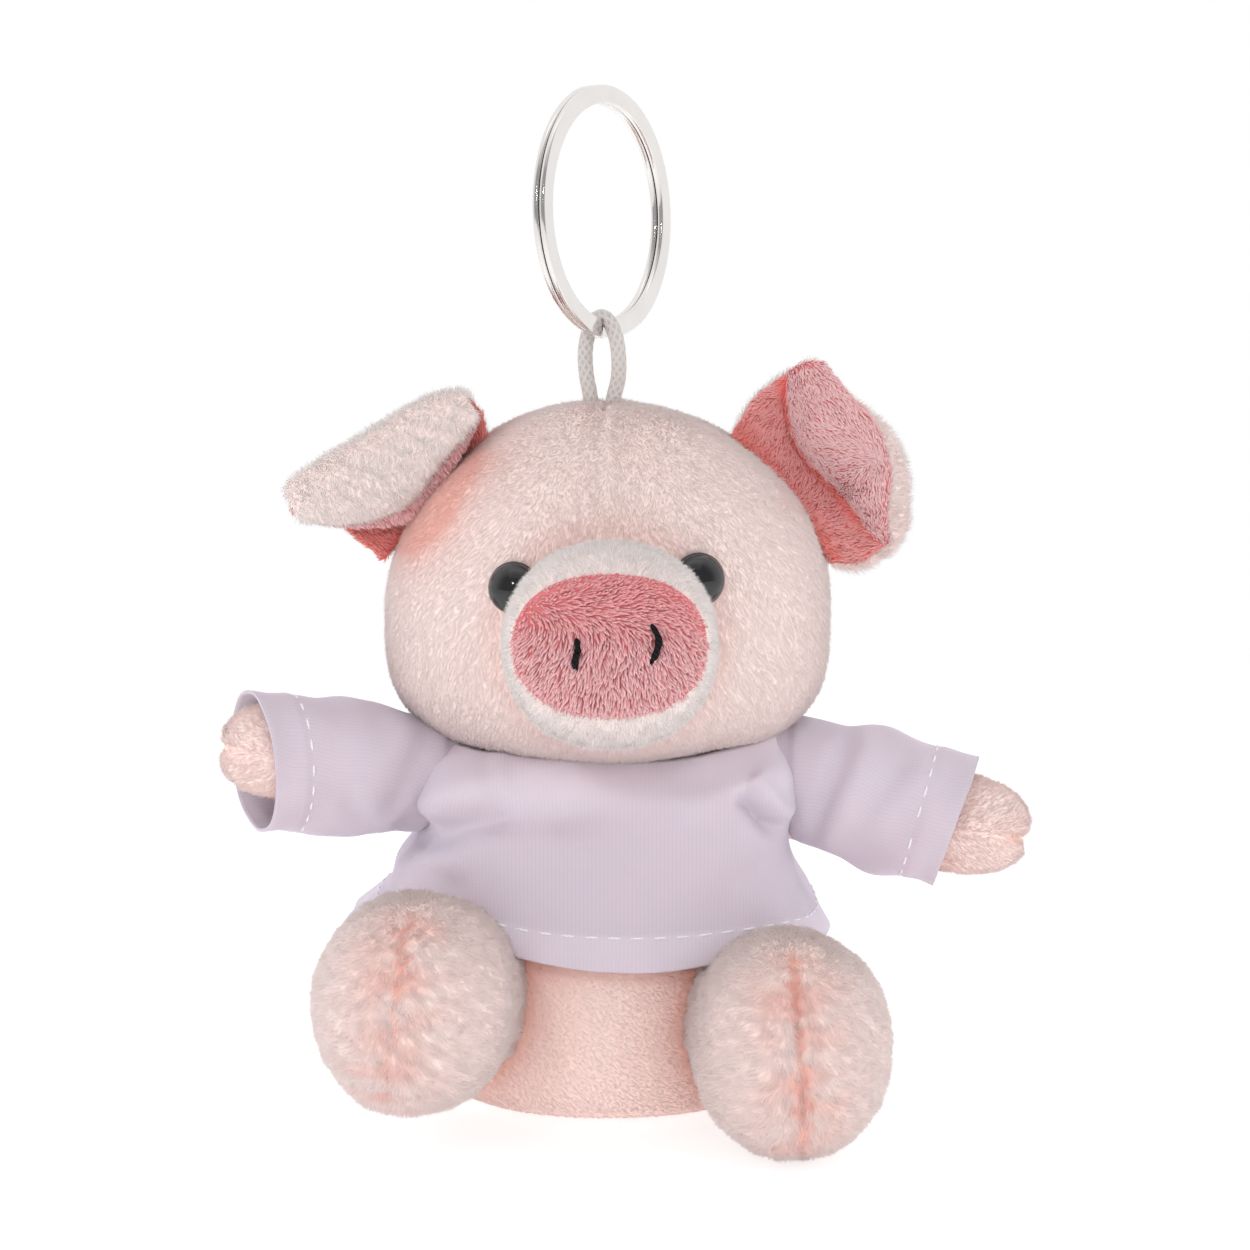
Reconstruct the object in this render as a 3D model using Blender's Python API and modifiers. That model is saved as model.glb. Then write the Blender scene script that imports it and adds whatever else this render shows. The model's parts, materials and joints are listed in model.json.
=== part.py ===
# A plush pig key ring charm that sits in a jersey T-shirt.
# Metres, +Z up, the face towards -Y. Left and right are the pig's own: its left is at +X.
# The origin is the middle of the foot of the box round the whole charm.

import math

import bmesh
import bpy
from mathutils import Matrix, Vector

# Where the upright axis through head and body stands
axis_x = -0.00205
axis_y = 0.00935

# Plush, jersey and the clearances between sewn pieces
cover_wall = 0.0008
jersey_wall = 0.0006
seam_gap = 0.0003
filling_gap = 0.0003
stand_flat = 0.0005
cut_overrun = 0.0020
floor_block_size = 0.2000
weld_distance = 0.00001

# Head
neck_height = 0.0418
neck_radius = 0.0095
head_width = 0.0532
head_depth = 0.0456
jaw_height = 0.0172
crown_height = 0.0254
# The jaw from the neck up to the cheek line: share of the jaw's height below it, share of the head's width
jaw_shares = ((0.985, 0.600), (0.840, 0.815), (0.450, 0.975))
# The crown: share of the crown's height above the cheek line, share of the head's width
crown_shares = ((0.000, 1.000), (0.430, 0.915), (0.730, 0.705), (0.930, 0.430), (1.000, 0.150))

# Muzzle and snout, along a line that climbs a little from the face
muzzle_side = 0.0005
muzzle_drop = 0.0006
muzzle_height = jaw_height - muzzle_drop
muzzle_climb = math.radians(8)
muzzle_width = 0.0250
muzzle_tall = 0.0242
muzzle_reach = 0.0122
# Share of the reach from the face, share of the width, share of the height
muzzle_shares = ((-0.36, 0.80, 0.80), (0.02, 0.92, 0.92), (0.38, 1.00, 1.00),
                 (0.72, 0.97, 0.93), (0.92, 0.86, 0.76), (1.00, 0.66, 0.50))
snout_width = 0.0226
snout_tall = 0.0165
snout_thick = 0.0030
snout_proud = 0.0010
# Share of the thickness from the back, share of the width and height
snout_shares = ((0.00, 0.94), (0.42, 1.00), (0.80, 0.92), (1.00, 0.55))

# Nostril stitches: the ends of each thread, across and up from the middle of the snout
thread_diameter = 0.0008
nostril_left_bow = 0.0007
nostril_right_bow = -0.0002
nostril_points = 7
nostril_left_ends = ((0.0044, 0.0026), (0.0040, -0.0020))
nostril_right_ends = ((-0.0041, 0.0012), (-0.0042, -0.0022))

# Safety eyes
eye_diameter = 0.0060
eye_dome = 0.0025
eye_rim = 0.0004
stem_diameter = 0.0016
stem_length = 0.0050
stem_hole_gap = 0.0003
washer_diameter = 0.0056
washer_thick = 0.0008
washer_bore_gap = 0.0002
washer_gap = 0.0005
washer_room = 0.0006
eye_dome_points = 6
eye_side = 0.0106
# Share of the crown's height at which each eye sits above the cheek line
eye_left_share = 0.27
eye_right_share = 0.23
eye_left_height = jaw_height + eye_left_share * crown_height
eye_right_height = jaw_height + eye_right_share * crown_height

# Ears, sewn down the side of the crown between two shares of its height
ear_length = 0.0196
ear_wall = 0.0008
ear_root_gap = 0.0008
ear_layer_gap = 0.0003
ear_top_share = 0.82
ear_low_share = 0.225
ear_top_height = jaw_height + ear_top_share * crown_height
ear_low_height = jaw_height + ear_low_share * crown_height
# Share of the ear's length, out from the head, over which its root follows the head's curve
ear_root_share = 0.30
# Each place of an ear's cage: down the seam, out from the head and forwards, as shares of the ear's length
ear_left_shares = (
    ((0.03, 0.00, 0.00), (0.26, 0.00, 0.00), (0.50, 0.00, 0.00), (0.75, 0.00, 0.00), (0.98, 0.00, 0.00)),
    ((-0.04, 0.15, -0.03), (0.23, 0.16, -0.06), (0.50, 0.16, -0.08), (0.78, 0.15, -0.07),
     (1.05, 0.12, -0.03)),
    ((-0.12, 0.31, 0.01), (0.20, 0.29, -0.08), (0.51, 0.28, -0.12), (0.83, 0.28, -0.08), (1.14, 0.23, 0.01)),
    ((-0.16, 0.52, 0.11), (0.15, 0.58, 0.10), (0.52, 0.59, 0.09), (0.88, 0.52, 0.08), (1.21, 0.37, 0.09)),
    ((-0.03, 0.68, 0.17), (0.22, 0.80, 0.22), (0.53, 0.82, 0.24), (0.86, 0.74, 0.20), (1.15, 0.52, 0.15)))
ear_right_shares = (
    ((0.03, 0.00, 0.00), (0.26, 0.00, 0.00), (0.50, 0.00, 0.00), (0.75, 0.00, 0.00), (0.98, 0.00, 0.00)),
    ((-0.03, 0.15, -0.05), (0.24, 0.22, -0.08), (0.52, 0.30, -0.09), (0.78, 0.37, -0.07),
     (1.00, 0.43, -0.04)),
    ((-0.13, 0.28, 0.05), (0.18, 0.41, 0.06), (0.47, 0.54, 0.06), (0.76, 0.67, 0.05), (1.04, 0.77, 0.04)),
    ((-0.07, 0.17, 0.15), (0.24, 0.24, 0.22), (0.54, 0.33, 0.24), (0.84, 0.46, 0.21), (1.12, 0.62, 0.14)),
    ((0.03, 0.12, 0.19), (0.29, 0.06, 0.28), (0.60, 0.07, 0.32), (0.87, 0.23, 0.28), (1.11, 0.52, 0.17)))

# Cord loop and its knot
cord_diameter = 0.0014
loop_side = -0.0006
loop_forward = 0.0010
loop_rise = 0.0088
bight_radius = 0.00215
loop_root_spread = 0.0012
loop_hole_radius = 0.0026
knot_diameter = 0.0040
knot_drop = 0.0012
knot_room = 0.0004
hang_lean = math.radians(8)
ring_turn = math.radians(60)

# Split ring: flat wire in two layers, crossing over near the loop
ring_diameter = 0.0300
wire_wide = 0.0022
wire_thick = 0.0008
wire_edge_bevel = 0.0002
ring_layer_pitch = 0.0009
ring_first_end = math.radians(-5)
ring_crossing = math.radians(25)

# Body
body_width = 0.0450
body_depth = 0.0412
# Share of the body's height from the base, share of its width, share of its depth
body_shares = ((0.000, 0.60, 0.60), (0.070, 0.85, 0.86), (0.220, 0.985, 0.985), (0.420, 0.985, 0.975),
               (0.650, 0.880, 0.875), (0.850, 0.765, 0.755), (0.965, 0.580, 0.580))

# Arms: a root in the body, the shoulder on the armhole's middle, then a line out to the hand
shoulder_in = 0.0020
shoulder_side = body_width / 2 - shoulder_in
shoulder_forward = 0.0030
shoulder_drop = 0.0030
shoulder_height = neck_height - shoulder_drop
arm_width = 0.0108
arm_root_in = 0.0085
arm_root_side = shoulder_side - arm_root_in
arm_root_drop = 0.0043
arm_root_height = shoulder_height - arm_root_drop
arm_root_width = 0.0084
arm_left_length = 0.0302
arm_left_climb = math.radians(-15)
arm_left_forward = math.radians(5)
arm_right_length = 0.0263
arm_right_climb = math.radians(10)
arm_right_forward = math.radians(17)
# Share of the way from the shoulder to the tip of the hand, share of the width
arm_shares = ((0.00, 0.94), (0.45, 0.98), (0.76, 1.07), (0.94, 0.88), (1.00, 0.45))
arm_swing_forward = math.radians(18)
arm_swing_back = math.radians(12)

# Legs: hip in the side of the body, then a line out to the ball of the foot
hip_in = 0.0060
hip_side = body_width / 2 - hip_in
hip_back = 0.0078
hip_forward = body_depth / 2 - hip_back
hip_height_share = 0.26
hip_height = hip_height_share * neck_height
leg_root_reach = 0.0050
leg_width = 0.0232
leg_left_tall = 0.0270
leg_right_tall = 0.0248
foot_left_side = 0.0212
foot_left_forward = 0.0312
foot_left_height = 0.0119
foot_right_side = 0.0222
foot_right_forward = 0.0308
foot_right_height = 0.0178
foot_overhang = 0.0112
# Share of the way from the root end to the toe, share of the width, share of the height
leg_shares = ((0.00, 0.44, 0.40), (0.22, 0.72, 0.64), (0.46, 0.88, 0.84),
              (0.68, 1.00, 1.00), (0.87, 0.84, 0.85), (0.975, 0.50, 0.52))
leg_swing_out = math.radians(12)
leg_swing_in = math.radians(8)

# T-shirt. At the collar, shoulder and chest it is narrower than the body's widest, at waist and hem wider.
collar_rise = 0.0002
collar_draw = 0.0078
shoulder_draw = 0.0036
chest_draw = 0.0023
waist_ease = 0.0020
hem_ease = 0.0112
hem_front_ease = 0.0050
collar_width = body_width - collar_draw
collar_depth = body_depth - collar_draw
shoulder_width = body_width - shoulder_draw
shoulder_depth = body_depth - shoulder_draw
chest_width = body_width - chest_draw
chest_depth = body_depth - chest_draw
waist_width = body_width + waist_ease
waist_depth = body_depth + waist_ease
hem_width = body_width + hem_ease
hem_depth = body_depth + hem_front_ease
hem_shift = -0.0018
waist_shift = -0.0007
hem_front_height = 0.0206
hem_back_height = 0.0215
hem_lift_left = 0.0012
hem_lift_right = 0.0034
hem_lift_spread = math.radians(34)
shirt_side_gap = 0.0004
underarm_fold_depth = 0.0010
underarm_fold_spread = 0.0022
underarm_fold_side = -0.0102
underarm_fold_reach = 0.0102
underarm_fold_slope = 0.35
tuck_depth = 0.0007
tuck_side = 0.0164
tuck_reach = 0.0072
tuck_slope = 1.10
shirt_columns = 16
shirt_rows = 8
# Share of the way down from the collar for the shoulder, chest and waist lines
shirt_line_shares = (0.17, 0.42, 0.68)

# Sleeves, round the arm's line
sleeve_root_tall = 0.0152
sleeve_root_deep = 0.0140
sleeve_cuff_tall = 0.0168
sleeve_cuff_deep = 0.0150
sleeve_left_length = 0.0208
sleeve_right_length = 0.0212
sleeve_root_in = 0.0008
sleeve_shares = (0.00, 0.30, 0.65, 1.00)
armhole_gap = 0.0009
armhole_swing_room = 0.0018
armhole_reach = 0.0200
cheek_room = 0.0010

# How fine the round forms are
form_sides = 10
limb_sides = 8
turned_steps = 16
ring_turn_points = 30
knot_sides = 10
cord_bight_points = 8
cord_strand_points = 7

axis_base = Vector((axis_x, axis_y, 0))
right_axis = Vector((1, 0, 0))
back_axis = Vector((0, 1, 0))
up_axis = Vector((0, 0, 1))
charm = bpy.data.collections.new("plush_pig_charm")
cutters = bpy.data.collections.new("cutters")


def start_scene():
    for old in list(bpy.data.objects):
        bpy.data.objects.remove(old, do_unlink=True)
    bpy.context.scene.collection.children.link(charm)
    bpy.context.scene.collection.children.link(cutters)


def material(name, colour, roughness, metallic=0.0):
    found = bpy.data.materials.get(name)
    if found:
        return found
    made = bpy.data.materials.new(name)
    made.use_nodes = True
    shader = made.node_tree.nodes["Principled BSDF"]
    shader.inputs["Base Color"].default_value = (*colour, 1)
    shader.inputs["Roughness"].default_value = roughness
    shader.inputs["Metallic"].default_value = metallic
    return made


def pale_plush():
    return material("pale_plush", (0.86, 0.64, 0.60), 0.95)


def pink_plush():
    return material("pink_plush", (0.70, 0.28, 0.32), 0.95)


def fibre_fill():
    return material("fibre_fill", (0.90, 0.90, 0.88), 0.98)


def lilac_jersey():
    return material("lilac_jersey", (0.76, 0.70, 0.82), 0.90)


def black_plastic():
    return material("black_plastic", (0.01, 0.01, 0.012), 0.08)


def black_thread():
    return material("black_thread", (0.015, 0.013, 0.014), 0.70)


def white_cord():
    return material("white_cord", (0.80, 0.77, 0.73), 0.80)


def bright_steel():
    return material("bright_steel", (0.78, 0.76, 0.74), 0.18, 1.0)


def clear_plastic():
    return material("clear_plastic", (0.85, 0.85, 0.85), 0.40)


def pivot_empty(name, place, parent=None):
    """An empty on a joint's axis, which carries what the joint moves."""
    empty = bpy.data.objects.new(name, None)
    empty.location = place - (parent["world"] if parent else Vector((0, 0, 0)))
    charm.objects.link(empty)
    if parent:
        empty.parent = parent["empty"]
    return {"empty": empty, "world": place}


def carry(obj, pivot):
    """Hang an object that is modelled in place on a pivot, without moving it."""
    obj.parent = pivot["empty"]
    obj.matrix_parent_inverse = Matrix.Translation(-pivot["world"])


def as_cutter(obj):
    obj.hide_render = True
    obj.display_type = "WIRE"
    return obj


def mesh_object(name, bm, collection, finish=None):
    mesh = bpy.data.meshes.new(name)
    bm.to_mesh(mesh)
    bm.free()
    mesh.shade_smooth()
    obj = bpy.data.objects.new(name, mesh)
    collection.objects.link(obj)
    if finish:
        mesh.materials.append(finish)
    return obj


def ring_cage(name, rings, right, up, sides, collection, finish=None, open_first=False):
    """A coarse cage of oval rings, each a centre, a half width and a half height.

    The rings follow each other along right x up. They are drawn larger by what one level of
    Subdivision Surface takes off a ring of this many sides.
    """
    shrink = (3 + math.cos(2 * math.pi / sides)) / 4
    bm = bmesh.new()
    loops = []
    for centre, half_width, half_height in rings:
        loop = []
        for side in range(sides):
            turn = 2 * math.pi * side / sides
            offset = right * (half_width * math.cos(turn)) + up * (half_height * math.sin(turn))
            loop.append(bm.verts.new(centre + offset / shrink))
        loops.append(loop)
    for lower, upper in zip(loops, loops[1:]):
        for side in range(sides):
            after = (side + 1) % sides
            bm.faces.new((lower[side], lower[after], upper[after], upper[side]))
    if not open_first:
        bm.faces.new(list(reversed(loops[0])))
    bm.faces.new(loops[-1])
    return mesh_object(name, bm, collection, finish)


def open_end(obj, place):
    """Take the cap off the end ring at a place."""
    bm = bmesh.new()
    bm.from_mesh(obj.data)
    cap = min(bm.faces, key=lambda face: (face.calc_center_median() - place).length)
    bmesh.ops.delete(bm, geom=[cap], context="FACES_ONLY")
    bm.to_mesh(obj.data)
    bm.free()


def sheet_cage(name, rows, collection, finish=None):
    """A coarse open sheet, from rows of points."""
    bm = bmesh.new()
    grid = [[bm.verts.new(point) for point in row] for row in rows]
    for lower, upper in zip(grid, grid[1:]):
        for column in range(len(lower) - 1):
            bm.faces.new((lower[column], lower[column + 1], upper[column + 1], upper[column]))
    return mesh_object(name, bm, collection, finish)


def subdivide(obj, levels=1):
    change = obj.modifiers.new("round", "SUBSURF")
    change.levels = levels
    change.render_levels = levels


def swell(obj, distance):
    """Move the whole surface out along its normals, or in where the distance is negative."""
    change = obj.modifiers.new("swell", "DISPLACE")
    change.strength = distance
    change.mid_level = 0


def thicken(obj, wall, side=-1):
    change = obj.modifiers.new("wall", "SOLIDIFY")
    change.thickness = wall
    change.offset = side
    change.use_even_offset = True


def cut(obj, cutter):
    change = obj.modifiers.new("cut by " + cutter.name, "BOOLEAN")
    change.operation = "DIFFERENCE"
    change.object = cutter


def turned(obj, steps=turned_steps):
    change = obj.modifiers.new("turn", "SCREW")
    change.steps = steps
    change.render_steps = steps
    change.use_merge_vertices = True
    change.merge_threshold = weld_distance


def turned_object(name, profile, collection, finish=None):
    """A solid of revolution about its own Z, from (radius, height) points, top to bottom."""
    bm = bmesh.new()
    points = [bm.verts.new((radius, 0, height)) for radius, height in profile]
    for before, after in zip(points, points[1:]):
        bm.edges.new((before, after))
    obj = mesh_object(name, bm, collection, finish)
    turned(obj)
    return obj


def facing(place, direction):
    """A matrix that puts an object's own Z along a direction."""
    return Matrix.Translation(place) @ direction.to_track_quat("Z", "Y").to_matrix().to_4x4()


def cylinder_cutter(name, radius, depth, place, direction, sides=turned_steps):
    bm = bmesh.new()
    bmesh.ops.create_cone(bm, cap_ends=True, segments=sides, radius1=radius, radius2=radius, depth=depth)
    obj = as_cutter(mesh_object(name, bm, cutters))
    obj.matrix_world = facing(place, direction)
    return obj


def ball(name, radius, place, collection, finish=None, sides=turned_steps, squash=1):
    bm = bmesh.new()
    bmesh.ops.create_uvsphere(bm, u_segments=sides, v_segments=sides // 2, radius=radius)
    bmesh.ops.scale(bm, vec=(1, 1, squash), verts=bm.verts)
    bmesh.ops.translate(bm, vec=place, verts=bm.verts)
    return mesh_object(name, bm, collection, finish)


def cut_for_swing(piece, form, pivot, axis, angles):
    """Cut a piece by a larger form, as the piece meets it at rest and at each end of its swing."""
    for count, angle in enumerate(angles):
        stop = bpy.data.objects.new(f"{form.name}_for_{piece.name}_{count}", form.data)
        cutters.objects.link(as_cutter(stop))
        for change in form.modifiers:
            if change.type == "SUBSURF":
                subdivide(stop, change.levels)
            else:
                swell(stop, change.strength)
        turn = Matrix.Rotation(-angle, 4, axis)
        stop.matrix_world = Matrix.Translation(pivot) @ turn @ Matrix.Translation(-pivot)
        cut(piece, stop)


def blend_table(table, share):
    """Straight-line reading of a table of (share, value, ...) rows."""
    for before, after in zip(table, table[1:]):
        if share <= after[0]:
            part = (share - before[0]) / (after[0] - before[0])
            return [a + (b - a) * part for a, b in zip(before[1:], after[1:])]
    return list(table[-1][1:])


def ease(share):
    """A slow start and a slow end between 0 and 1."""
    return share * share * (3 - 2 * share)


# Head

def head_rings():
    cheek = neck_height + jaw_height
    rings = [(axis_base + up_axis * neck_height, neck_radius, neck_radius)]
    for drop, share in jaw_shares:
        place = axis_base + up_axis * (cheek - drop * jaw_height)
        rings.append((place, share * head_width / 2, share * head_depth / 2))
    for rise, share in crown_shares:
        place = axis_base + up_axis * (cheek + rise * crown_height)
        rings.append((place, share * head_width / 2, share * head_depth / 2))
    return rings


def head_surface(start, direction):
    """Where a line from outside first meets the head, and the way the plush faces there."""
    form = bpy.data.objects["head_form"].evaluated_get(bpy.context.evaluated_depsgraph_get())
    _, place, outwards, _ = form.ray_cast(start, direction)
    return place, outwards


def head_face(side, height):
    """The point of the face at a distance to one side and a height above the neck."""
    return head_surface(axis_base + Vector((side, -head_depth, neck_height + height)), back_axis)


def head_form(name, room):
    form = as_cutter(ring_cage(name, head_rings(), right_axis, back_axis, form_sides, cutters))
    subdivide(form)
    swell(form, room)
    return form


def make_head(pivot):
    cover = ring_cage("head_cover", head_rings(), right_axis, back_axis, form_sides, charm,
                      pale_plush(), open_first=True)
    subdivide(cover)
    thicken(cover, cover_wall)
    filling = ring_cage("head_filling", head_rings(), right_axis, back_axis, form_sides, charm, fibre_fill())
    subdivide(filling)
    swell(filling, -(cover_wall + filling_gap))
    carry(cover, pivot)
    carry(filling, pivot)
    return cover, filling


def make_eye(side_name, side, height, cover, filling, muzzle_pieces, pivot):
    """A safety eye: a dome with a stem, locked by a washer behind the plush."""
    seat, outwards = head_face(side, height)
    place = facing(seat + outwards * seam_gap, outwards)
    radius = eye_diameter / 2
    profile = []
    for count in range(eye_dome_points):
        turn = math.pi / 2 * count / (eye_dome_points - 1)
        profile.append((radius * math.sin(turn), eye_rim + (eye_dome - eye_rim) * math.cos(turn)))
    profile += [(radius, 0), (stem_diameter / 2, 0), (stem_diameter / 2, -stem_length), (0, -stem_length)]
    eye = turned_object("eye_" + side_name, profile, charm, black_plastic())
    eye.matrix_world = place
    washer_top = -(seam_gap + cover_wall + washer_gap)
    bore = stem_diameter / 2 + washer_bore_gap
    washer_low = washer_top - washer_thick
    washer_radius = washer_diameter / 2
    washer_profile = [(bore, washer_top), (washer_radius, washer_top), (washer_radius, washer_low),
                      (bore, washer_low), (bore, washer_top)]
    washer = turned_object("eye_washer_" + side_name, washer_profile, charm, clear_plastic())
    washer.matrix_world = place
    stem_deep = stem_length + filling_gap
    stem_hole = cylinder_cutter("stem_hole_" + side_name, stem_diameter / 2 + stem_hole_gap,
                                stem_deep + cut_overrun,
                                seat - outwards * ((stem_deep - cut_overrun) / 2), outwards)
    nest_deep = cover_wall + washer_gap + washer_thick + washer_room
    nest = cylinder_cutter("washer_nest_" + side_name, washer_diameter / 2 + filling_gap, nest_deep,
                           seat - outwards * (nest_deep / 2), outwards)
    cut(cover, stem_hole)
    cut(filling, stem_hole)
    cut(filling, nest)
    hollow = as_cutter(ball("eye_hollow_" + side_name, radius + filling_gap + seam_gap, seat, cutters))
    for piece in muzzle_pieces:
        cut(piece, hollow)
    for piece in (eye, washer):
        carry(piece, pivot)


# Muzzle, snout and nostrils

def muzzle_axes():
    forward = Vector((0, -math.cos(muzzle_climb), math.sin(muzzle_climb)))
    up = Vector((0, math.sin(muzzle_climb), math.cos(muzzle_climb)))
    return head_face(muzzle_side, muzzle_height)[0], forward, up


def muzzle_rings():
    root, forward, _ = muzzle_axes()
    return [(root + forward * (reach * muzzle_reach), wide * muzzle_width / 2, tall * muzzle_tall / 2)
            for reach, wide, tall in muzzle_shares]


def snout_rings():
    root, forward, _ = muzzle_axes()
    back = muzzle_reach + snout_proud - snout_thick
    return [(root + forward * (back + share * snout_thick), size * snout_width / 2, size * snout_tall / 2)
            for share, size in snout_shares]


def make_muzzle(pivot):
    _, _, up = muzzle_axes()
    cover = ring_cage("muzzle_cover", muzzle_rings(), right_axis, up, form_sides, charm, pale_plush())
    subdivide(cover)
    thicken(cover, cover_wall)
    filling = ring_cage("muzzle_filling", muzzle_rings(), right_axis, up, form_sides, charm, fibre_fill())
    subdivide(filling)
    swell(filling, -(cover_wall + filling_gap))
    patch = ring_cage("snout_patch", snout_rings(), right_axis, up, form_sides, charm, pink_plush())
    subdivide(patch)
    opening = as_cutter(ring_cage("snout_opening", snout_rings(), right_axis, up, form_sides, cutters))
    subdivide(opening)
    swell(opening, seam_gap)
    face = head_form("head_form_for_muzzle", seam_gap)
    for piece in (cover, filling):
        cut(piece, face)
        cut(piece, opening)
    for piece in (cover, filling, patch):
        carry(piece, pivot)
    return cover, filling


def tube(name, points, diameter, collection, finish, resolution=2):
    """A thread or cord: a poly spline with a round bevel and filled caps."""
    data = bpy.data.curves.new(name, "CURVE")
    data.dimensions = "3D"
    data.bevel_depth = diameter / 2
    data.bevel_resolution = resolution
    data.use_fill_caps = True
    spline = data.splines.new("POLY")
    spline.points.add(len(points) - 1)
    for slot, point in zip(spline.points, points):
        slot.co = (*point, 1)
    data.materials.append(finish)
    obj = bpy.data.objects.new(name, data)
    collection.objects.link(obj)
    return obj


def mesh_from_curve(name, curve_object, finish):
    """The curve's surface as a mesh, with its caps welded on, in place of the curve."""
    bpy.context.view_layer.update()
    evaluated = curve_object.evaluated_get(bpy.context.evaluated_depsgraph_get())
    mesh = bpy.data.meshes.new_from_object(evaluated)
    bm = bmesh.new()
    bm.from_mesh(mesh)
    bmesh.ops.remove_doubles(bm, verts=bm.verts, dist=weld_distance)
    bmesh.ops.recalc_face_normals(bm, faces=bm.faces)
    matrix = curve_object.matrix_world.copy()
    bpy.data.objects.remove(curve_object, do_unlink=True)
    made = mesh_object(name, bm, charm, finish)
    made.matrix_world = matrix
    return made


def make_nostril(side_name, ends, bow, pivot):
    """A thread laid in a shallow bow over the front of the snout."""
    root, forward, up = muzzle_axes()
    front = root + forward * (muzzle_reach + snout_proud + seam_gap + thread_diameter / 2)
    points = []
    for count in range(nostril_points):
        share = count / (nostril_points - 1)
        across = ends[0][0] + (ends[1][0] - ends[0][0]) * share + bow * math.sin(math.pi * share)
        rise = ends[0][1] + (ends[1][1] - ends[0][1]) * share
        points.append(front + right_axis * across + up * rise)
    thread = tube("nostril_stitch_" + side_name, points, thread_diameter, charm, black_thread(), 1)
    carry(thread, pivot)


# Ears

def ear_seam_point(side, along, clear):
    """A point on the ear's seam down the side of the head, clear of the plush."""
    height = ear_top_height + (ear_low_height - ear_top_height) * along
    start = axis_base + Vector((side * head_width, 0, neck_height + height))
    place, outwards = head_surface(start, right_axis * -side)
    return place + outwards * clear


def ear_axes(side):
    top = ear_seam_point(side, 0, ear_root_gap)
    low = ear_seam_point(side, 1, ear_root_gap)
    down = (low - top).normalized()
    outwards = Vector((-side * down.z, 0, side * down.x))
    return top, low, down, outwards


def ear_rows(side, shares):
    top, _, down, outwards = ear_axes(side)
    rows = []
    for share_row in shares:
        row = []
        for along, out, forward in share_row:
            flat = top + down * (along * ear_length)
            held = ear_seam_point(side, min(1, max(0, along)), ear_root_gap)
            bulge = (held - flat).dot(outwards) * max(0, 1 - out / ear_root_share)
            row.append(flat + outwards * (bulge + out * ear_length) - back_axis * (forward * ear_length))
        rows.append(row)
    return rows


def make_ear(side_name, side, shares, pivot):
    """Two layers of plush sewn edge to edge: the pale back and the pink lining on its front."""
    rows = ear_rows(side, shares)
    front = 1 if side > 0 else -1
    back = sheet_cage("ear_back_" + side_name, rows, charm, pale_plush())
    lining = sheet_cage("ear_lining_" + side_name, rows, charm, pink_plush())
    for piece, way in ((back, -front), (lining, front)):
        subdivide(piece)
        swell(piece, way * ear_layer_gap / 2)
        thicken(piece, ear_wall, way)
        cut(piece, bpy.data.objects["head_form_for_ears"])
        carry(piece, pivot)


# Cord loop and split ring

def hang_axes():
    """Along the wire at the bight, up the loop, and through the ring, leaning back with the loop."""
    lean = Matrix.Rotation(-hang_lean, 3, "X")
    along = lean @ Vector((math.cos(ring_turn), math.sin(ring_turn), 0))
    through = lean @ Vector((math.sin(ring_turn), -math.cos(ring_turn), 0))
    return along, lean @ up_axis, through


def loop_root():
    top = neck_height + jaw_height + crown_height - cover_wall / 2
    return axis_base + Vector((loop_side, -loop_forward, top))


def make_loop(pivot, cover, filling):
    _, up, through = hang_axes()
    root = loop_root()
    knot_top = cover_wall + knot_drop
    low = -(knot_top - seam_gap)
    points = []
    for count in range(cord_strand_points):
        share = count / (cord_strand_points - 1)
        rise = low + (loop_rise - low) * share
        points.append((-(loop_root_spread + (bight_radius - loop_root_spread) * ease(share)), rise))
    for count in range(1, cord_bight_points):
        turn = math.pi * count / cord_bight_points
        points.append((-bight_radius * math.cos(turn), loop_rise + bight_radius * math.sin(turn)))
    points += [(-across, rise) for across, rise in reversed(points[:cord_strand_points])]
    route = [root + through * across + up * rise for across, rise in points]
    loop = tube("hang_loop", route, cord_diameter, charm, white_cord())
    knot_radius = knot_diameter / 2
    knot_place = root - up * (knot_top + knot_radius)
    knot = ball("loop_knot", knot_radius, knot_place, charm, white_cord(), knot_sides)
    hole = cylinder_cutter("loop_hole", loop_hole_radius, 2 * cut_overrun, root, up_axis)
    room = as_cutter(ball("knot_room", knot_top + knot_diameter + knot_room, root, cutters))
    cut(cover, hole)
    cut(filling, room)
    carry(loop, pivot)
    carry(knot, pivot)


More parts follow.
